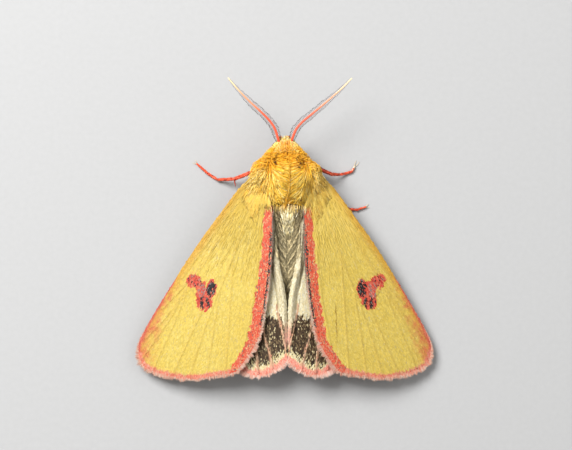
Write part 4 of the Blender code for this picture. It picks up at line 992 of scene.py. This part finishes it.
brow_hair = lay_hair(rng, y, angle, turn, rng.uniform(0.25, 0.5, 900), rng.uniform(0.9, 1.22, 900),
                     rng.uniform(0.06, 0.095, 900), root, tip)
y, angle = spread_evenly(900, rng, (7.3, 1.9), (8.95, 2 * np.pi - 1.9)).T
angle = half_turn(angle)
clear = (np.abs(angle) > 2.35) | (y < 7.6) | (y > 8.75)
y, angle = y[clear], angle[clear]
turn = rng.normal(0, 0.4, len(y))
root, tip = shaded(rng, y, angle, 0.6)
face_hair = lay_hair(rng, y, angle, turn, rng.uniform(0.2, 0.4, len(y)), rng.uniform(0.3, 0.6, len(y)),
                     rng.uniform(0.06, 0.09, len(y)), root, tip, above=False)
make_piece("collar_and_head_hair", [collar_hair, gap_shadow_hair, crown_hair, neck_hair, brow_hair, face_hair],
           silky_hair)

# Belly and flanks of the thorax: shorter hair laid back, under the wings
rng = np.random.default_rng(79)
y, angle = spread_evenly(2600, rng, (2.2, 1.65), (7.2, 2 * np.pi - 1.65)).T
angle = half_turn(angle)
turn = np.pi + rng.normal(0, 0.25, len(y))
root, tip = shaded(rng, y, angle, 0.6)
belly_hair = lay_hair(rng, y, angle, turn, rng.uniform(0.8, 1.5, len(y)), rng.uniform(0.2, 0.5, len(y)),
                      rng.uniform(0.09, 0.14, len(y)), root, tip, above=False, steps=4)

# Abdomen: fine strands that meet in a V along the back, a cream tuft behind the thorax, and flat short
# hair on the sides and below
y, angle = spread_evenly(5600, rng, (-8.7, -1.35), (3.0, 1.35)).T
out = np.abs(angle)
girth = np.maximum(np.interp(y, COAT_FORM[:, 0], COAT_FORM[:, 3]), 0.7)
converge = 0.1 + 0.5 * fade(y, 2.2, 2.8)
to_middle = out * girth / np.sin(converge)
length = np.clip(np.minimum(rng.uniform(0.9, 1.7, len(y)), to_middle), 0.3, None)
length = length * np.where(y < -7.0, 0.6, 1.0)
turn = np.pi + np.sign(angle) * converge + rng.normal(0, 0.03, len(y))
meeting = y - out * girth / np.tan(converge)
ply = rolling(meeting * 3.6 + 90, np.sign(angle) * 3 + 30, 1.0, 97)
strand = 0.3 + 1.15 * ply + rng.normal(0, 0.04, len(y))
fur_tone = linear("#D9C89C") * strand[:, None]
root, tip = shaded(rng, y, angle, 0.7)
fawn = fade(-y, 6.5, 8.0) * fade(y, 1.4, 2.4) * 0.85
root, tip = blend(root, fur_tone * 0.75, fawn), blend(tip, fur_tone, fawn)
width = rng.uniform(0.05, 0.08, len(y))
rise = 0.64 + 0.3 * ply + rng.uniform(-0.03, 0.03, len(y))
spine_hair = [lay_hair(rng, y[part], angle[part], turn[part], length[part], rise[part], width[part],
                       root[part], tip[part], above=over, steps=4, curl=0.02)
              for part, over in (((y > -2.0) & (out < 1.05), True), ((y <= -2.0) | (out >= 1.05), False))]
y, angle = rng.uniform(1.1, 2.4, 380), rng.normal(0.03, 0.2, 380)
cream = pick(("#FFF0BE", "#FFF6D4", "#F8E2A4"), (4, 3, 2), rng.random(380))
length = rng.uniform(1.1, 2.1, 380)
cream_tuft = lay_hair(rng, y, angle, np.pi + np.arcsin(np.clip(1.1 * angle / length, -0.6, 0.6)), length,
                      rng.uniform(1.0, 1.15, 380), rng.uniform(0.06, 0.09, 380), cream * 0.85, cream,
                      curl=0.02)
y, angle = spread_evenly(2600, rng, (-8.7, 1.45), (2.4, 2 * np.pi - 1.45)).T
angle = half_turn(angle)
turn = np.pi + rng.normal(0, 0.2, len(y))
root, tip = shaded(rng, y, angle, 0.6)
side_hair = lay_hair(rng, y, angle, turn, rng.uniform(0.7, 1.2, len(y)), rng.uniform(0.3, 0.8, len(y)),
                     rng.uniform(0.09, 0.14, len(y)), root, tip, above=False, steps=4)
make_piece("belly_hair", [belly_hair], silky_hair)
make_piece("abdomen_hair", [*spine_hair, cream_tuft, side_hair], silky_hair)

# Eyes: one compound eye on each side of the head, a dark glossy dome of tiny hexagonal lenses, set in
# the short hair of the face and overhung by the crown's tuft.

# Lens cuticle: smooth and clear over dark pigment; facets about 0.03 mm wide, drawn at 0.06 so they show
eye_cuticle, eye_shader = new_material("compound_eye_cuticle", Roughness=0.2, IOR=1.45, Coat_Weight=0.15)
eye_place = add_node(eye_cuticle, "ShaderNodeTexCoord")
eye_cells = add_node(eye_cuticle, "ShaderNodeTexVoronoi",
                     {"Vector": eye_place.outputs["Object"], "Scale": 16000.0})
eye_tone = add_node(eye_cuticle, "ShaderNodeMix", {
    "Factor": eye_cells.outputs["Distance"], 6: (*linear("#2A1A12"), 1.0), 7: (*linear("#0B0706"), 1.0)},
    data_type="RGBA")
eye_bump = add_node(eye_cuticle, "ShaderNodeBump", {
    "Height": eye_cells.outputs["Distance"], "Strength": 0.5, "Distance": 0.00003}, invert=True)
eye_cuticle.node_tree.links.new(eye_tone.outputs[2], eye_shader.inputs["Base Color"])
eye_cuticle.node_tree.links.new(eye_bump.outputs["Normal"], eye_shader.inputs["Normal"])

HEAD_X = -0.2
EYE_RADIUS = 0.6


def globe(middle, half_sizes, rows=24, columns=36):
    """A closed ball of rings from pole to pole, its axis across the body, scaled to its half-sizes."""
    polar, turn = np.meshgrid(np.linspace(0, np.pi, rows + 1)[1:-1], np.arange(columns) * 2 * np.pi / columns,
                              indexing="ij")
    points = np.stack([np.cos(polar), np.sin(polar) * np.cos(turn), np.sin(polar) * np.sin(turn)],
                      -1).reshape(-1, 3)
    points = np.vstack([points, [1.0, 0.0, 0.0], [-1.0, 0.0, 0.0]]) * half_sizes + middle
    return points, ring_faces(rows - 1, columns), np.full((len(points), 3), 0.02), None


for side, side_name in ((-1, "left"), (1, "right")):
    eye = make_piece(f"compound_eye_{side_name}",
                     [globe((HEAD_X + 0.78 * side, 8.2, 2.95), (EYE_RADIUS * 0.95, EYE_RADIUS, EYE_RADIUS))],
                     eye_cuticle)
    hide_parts(f"eye_{side_name}")

# Feelers: a whip of about sixty short rings clad in pink scales, fading to cream at the tip, with a comb
# of fine dark teeth down both sides, each tooth bent forward and edged with down.


def tube(path, radii, tones, corners=10):
    """A closed round tube: a ring square to the path at each point, and a cap at each end."""
    tangent = unit(np.gradient(path, axis=0))
    side = unit(np.cross(tangent, (0.0, 0.0, 1.0)))
    upward = np.cross(side, tangent)
    turn = np.arange(corners) * 2 * np.pi / corners
    rings = path[:, None] + radii[:, None, None] * (side[:, None] * np.cos(turn)[None, :, None]
                                                    + upward[:, None] * np.sin(turn)[None, :, None])
    points = np.vstack([rings.reshape(-1, 3), path[0], path[-1]])
    ring_tones = np.repeat(tones[:, None], corners, axis=1)
    # Painted shade: each ring is darker on its under side
    under = np.clip(-np.sin(turn), 0, 1)[None, :, None]
    ring_tones = (ring_tones * (1 - 0.55 * under)).reshape(-1, 3)
    return points, ring_faces(len(path), corners), np.vstack([ring_tones, tones[0], tones[-1]]), None


def cuticle_material(name, rough):
    """Cuticle under flat scales: smooth horn, softened by a pile of scales about 0.07 mm long."""
    return toned_material(name, 14, 0.7, 1.3, 0.4, 0.03, Roughness=rough, Specular_IOR_Level=0.4,
                          Coat_Weight=0.05)


feeler_cuticle = cuticle_material("feeler_cuticle", 0.45)
FEELERS = {
    "left": ((-0.75, 8.45, 3.7), (-1.0, 9.1, 4.25), (-1.35, 10.1, 4.45), (-1.9, 10.9, 4.5),
             (-2.7, 11.7, 4.6), (-3.8, 12.7, 4.7), (-5.0, 13.9, 4.85), (-6.0, 15.05, 5.0)),
    "right": ((0.25, 8.45, 3.7), (0.45, 9.2, 4.25), (0.8, 10.05, 4.45), (1.35, 10.7, 4.5),
              (2.0, 11.25, 4.6), (3.5, 12.5, 4.7), (5.1, 13.9, 4.85), (6.25, 15.05, 5.0)),
}
FEELER_RINGS = 62
TOOTH_PAIRS = 56

for side_name, points in FEELERS.items():
    rng = np.random.default_rng(97 + len(side_name))
    path = smooth_line(points, FEELER_RINGS * 4 + 1)
    t = np.linspace(0, 1, len(path))
    ringed = 1 + 0.07 * np.cos(t * FEELER_RINGS * 2 * np.pi)
    radii = np.interp(t, (0, 0.04, 0.5, 1), (0.15, 0.13, 0.1, 0.05)) * ringed
    tones = blend(blend(np.broadcast_to(linear("#E8583A"), (len(t), 3)), linear("#F39A72"),
                        fade(-t, -0.75, -0.35)),
                  linear("#F6DBA2"), fade(-t, -0.98, -0.7))
    shaft = tube(path, radii, tones)
    at = (np.linspace(0.05, 0.96, TOOTH_PAIRS) * (len(path) - 1)).astype(int)
    ahead = unit(np.gradient(path, axis=0)[at])
    sideways = np.cross(ahead, (0.0, 0.0, 1.0))
    reach = np.interp(t[at], (0, 0.1, 0.55, 0.8, 1.0), (0.33, 0.45, 0.4, 0.23, 0.08))
    teeth = []
    for hand in (-1, 1):
        out = hand * sideways * 0.85 + np.array((0.0, 0.0, -0.45))
        step = np.linspace(0, 1, 5)[None, :, None]
        reach_out = (reach * rng.uniform(0.85, 1.1, len(at)))[:, None, None]
        tooth = (path[at][:, None] + out[:, None] * reach_out * (1 - (1 - step) ** 1.8)
                 + ahead[:, None] * reach_out * 0.7 * step ** 2)
        bristle = (np.linspace(0, 1, 4)[None, :, None] - 0.3) * 0.3
        end = tooth[:, -1:] + (ahead[:, None] - 0.15 * out[:, None]) * reach_out * bristle
        dark = pick(("#3B2A22", "#544034", "#251A15"), (4, 3, 2), rng.random(len(at)))
        slim = 0.045 * np.interp(t[at], (0, 1), (1, 0.6))
        for way, wide, first in ((tooth, slim, dark * 2.0), (end, slim * 1.7, dark)):
            teeth.append(hairs(way, ahead, wide, first, dark, np.tile((0.5, 0.5), (len(at), 1)))[:3]
                         + (None,))
    feeler = make_piece(f"feeler_{side_name}", [shaft] + teeth, feeler_cuticle)
    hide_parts(f"antenna_{side_name}")

# Palps: a pair of short three-jointed feelers under the face, clad in orange-brown scales.

for side, side_name in ((-1, "left"), (1, "right")):
    rng = np.random.default_rng(131 + side)
    path = smooth_line(((HEAD_X + 0.4 * side, 8.2, 2.0), (HEAD_X + 0.42 * side, 8.8, 1.95),
                        (HEAD_X + 0.44 * side, 9.3, 2.3)), 25)
    t = np.linspace(0, 1, len(path))
    radii = np.interp(t, (0, 0.3, 0.7, 1), (0.15, 0.2, 0.15, 0.05))
    tones = blend(np.broadcast_to(linear("#C9582E"), (len(t), 3)), linear("#5A3A2A"), fade(-t, -0.9, -0.5))
    stem = tube(path, radii, tones)
    n = 260
    at = rng.integers(1, len(path) - 5, n)
    turn = rng.uniform(0, 2 * np.pi, n)
    out = np.stack([np.cos(turn), 0 * turn, np.sin(turn)], axis=1)
    ahead = unit(path[-1] - path[0])
    step = np.linspace(0, 1, 4)[None, :, None]
    short = (path[at][:, None] + out[:, None] * (radii[at][:, None, None] * 0.9 + 0.06 * step)
             + ahead[None, None] * 0.38 * step)
    fur_tone = pick(("#D9692F", "#E99A3C", "#8A4526"), (4, 3, 2), rng.random(n))
    pile = hairs(short, np.cross(out, ahead), rng.uniform(0.05, 0.08, n), fur_tone * 0.6, fur_tone,
                 np.stack([0.02 + 0.95 * turn / (2 * np.pi), 0.02 + 0.95 * t[at]], axis=1))
    stem_corners = 0.99 + rng.uniform(0, 0.004, (len(stem[1]), 3, 2))
    palp = make_piece(f"palp_scales_{side_name}", [stem[:3] + (stem_corners,), pile],
                      feeler_cuticle)
    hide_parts(f"palp_{side_name}")

# Legs: six jointed legs of horn clad in flat orange-red scales, painted darker below as shade, each ending in
# a foot of five short joints with a pair of pale claws, whose underside rests on the floor.

leg_cuticle = cuticle_material("leg_cuticle", 0.5)
LEGS = {
    "foreleg_left": ((-0.9, 6.0, 2.3), (-2.2, 6.1, 1.3), (-3.7, 5.7, 1.5), (-5.1, 5.15, 1.25),
                     (-6.7, 5.08, 0.3), (-7.2, 5.4, 0.15), (-7.7, 5.72, 0.15), (-8.8, 6.7, 0.15)),
    "foreleg_right": ((0.9, 6.0, 2.3), (2.1, 6.3, 1.3), (3.4, 6.15, 1.5), (4.6, 5.65, 1.25),
                      (5.5, 5.6, 0.55), (6.2, 5.75, 0.2), (6.7, 5.9, 0.2), (7.05, 6.45, 0.2)),
    "midleg_left": ((-1.1, 4.8, 2.1), (-2.2, 4.5, 1.35), (-3.2, 3.9, 1.6), (-4.0, 3.2, 1.1),
                    (-4.6, 2.8, 0.4), (-5.0, 2.6, 0.2), (-5.5, 2.4, 0.2), (-5.9, 2.2, 0.2)),
    "midleg_right": ((1.1, 4.8, 2.1), (2.4, 4.3, 1.35), (3.7, 3.6, 1.6), (4.9, 2.9, 1.1),
                     (6.0, 2.3, 0.4), (6.6, 2.15, 0.2), (7.3, 2.1, 0.2), (8.2, 2.4, 0.2)),
    "hindleg_left": ((-1.2, 3.4, 2.2), (-2.1, 2.3, 1.35), (-3.2, 1.0, 1.45), (-3.8, -0.9, 1.0),
                     (-4.35, -2.7, 0.4), (-4.6, -3.5, 0.2), (-5.0, -4.9, 0.2), (-5.5, -6.5, 0.2)),
    "hindleg_right": ((1.2, 3.4, 2.2), (2.1, 2.3, 1.35), (3.2, 1.0, 1.45), (3.8, -0.9, 1.0),
                      (4.35, -2.7, 0.4), (4.6, -3.5, 0.2), (5.0, -4.9, 0.2), (5.5, -6.5, 0.2)),
}
leg_coats = []
for number, (leg_name, points) in enumerate(LEGS.items()):
    rng = np.random.default_rng(151 + number)
    points = np.array(points)
    bends = [points[1:-1] + 0.16 * (points[k:len(points) - 2 + k] - points[1:-1]) for k in (0, 1, 2)]
    path = smooth_line(np.vstack([points[:1], np.stack(bends, axis=1).reshape(-1, 3), points[-1:]]), 141)
    t = np.linspace(0, 1, len(path))
    joint_at = [np.abs(path - point).sum(1).argmin() / (len(path) - 1) for point in points]
    radii = np.interp(t, joint_at, (0.34, 0.32, 0.19, 0.16, 0.12, 0.11, 0.1, 0.075))
    foot_from = joint_at[4]
    foot = np.clip((t - foot_from) / (1 - foot_from), 0, 1)
    radii = radii * (1 + 0.16 * (foot > 0) * np.sin((foot * 5 % 1.0) * np.pi - 1.0))
    joint = np.exp(-((t[:, None] - np.array(joint_at[2:5])) / 0.012) ** 2).sum(1)
    radii = radii * (1 - 0.22 * joint)
    path[:, 2] = np.maximum(path[:, 2], radii)
    base = linear("#E2522F") * np.ones((len(t), 1))
    tones = blend(base, linear("#8E3A26"), 0.7 * joint)
    if leg_name == "foreleg_right":
        tones = blend(tones, linear("#6A1F14"), fade(t, 0.35, 0.55))
        tones = blend(tones, linear("#CDBFA6"), fade(-t, -0.96, -0.92))
    limb = tube(path, radii, tones, 12)
    claws = []
    heading = unit(path[-1] - path[-6])
    sideways = np.cross(heading, (0.0, 0.0, 1.0))
    for hand in (-1, 1):
        step = np.linspace(0, 1, 9)[:, None]
        claw_length = 0.62 if leg_name == "foreleg_right" else 0.34
        claw = path[-1] + heading * claw_length * step + sideways * hand * (0.03 + 0.13 * np.sin(step * 1.8))
        claw[:, 2] = 0.09 + 0.05 * np.sin(step[:, 0] * np.pi) - 0.045 * step[:, 0]
        claws.append(tube(claw, np.linspace(0.034, 0.01, 9), linear("#C9B48E") * np.ones((9, 1)), 6))
    if leg_name == "foreleg_left":
        spur = np.linspace((-5.1, 5.1, 1.12), (-4.95, 4.4, 0.9), 9)
        claws.append(tube(spur, np.linspace(0.085, 0.02, 9), linear("#C04028") * np.ones((9, 1)), 8))
    leg = make_piece(f"{leg_name}_limb", [limb] + claws, leg_cuticle)
    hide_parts(leg_name)
    n = 620
    at = rng.integers(4, len(path) - 6, n)
    turn = rng.uniform(0, 2 * np.pi, n)
    ahead = unit(np.gradient(path, axis=0)[at])
    sideways = unit(np.cross(ahead, (0.0, 0.0, 1.0)))
    out = sideways * np.cos(turn)[:, None] + np.cross(sideways, ahead) * np.sin(turn)[:, None]
    step = np.linspace(0, 1, 4)[None, :, None]
    long = np.interp(t[at], (0, 0.5, 1), (0.38, 0.26, 0.14))[:, None, None]
    short = (path[at][:, None] + out[:, None] * (radii[at][:, None, None] * 0.92 + 0.05 * step)
             + ahead[:, None] * long * step)
    short[..., 2] = np.maximum(short[..., 2], 0.03)
    coat_tone = pick(("#EE5E3A", "#F57C50", "#C9432A", "#8A3020"), (5, 3, 2, 1), rng.random(n))
    # Painted shade: scales on the legs' under side darkened
    coat_tone = blend(coat_tone, linear("#3E2218"), np.clip(-np.sin(turn), 0, 1) * 0.85)
    if leg_name == "foreleg_right":
        coat_tone = blend(coat_tone, linear("#5E1B12"), fade(t[at], 0.35, 0.55))
    patch = np.stack([(number + 0.05 + 0.9 * turn / (2 * np.pi)) / 6, 0.02 + 0.95 * t[at]], axis=1)
    leg_coats.append(hairs(short, np.cross(out, ahead),
                           np.interp(t[at], (0, 1), (0.085, 0.055)) * rng.uniform(0.8, 1.2, n),
                           coat_tone * 0.7, coat_tone, patch))
make_piece("leg_scales", leg_coats, leg_cuticle)
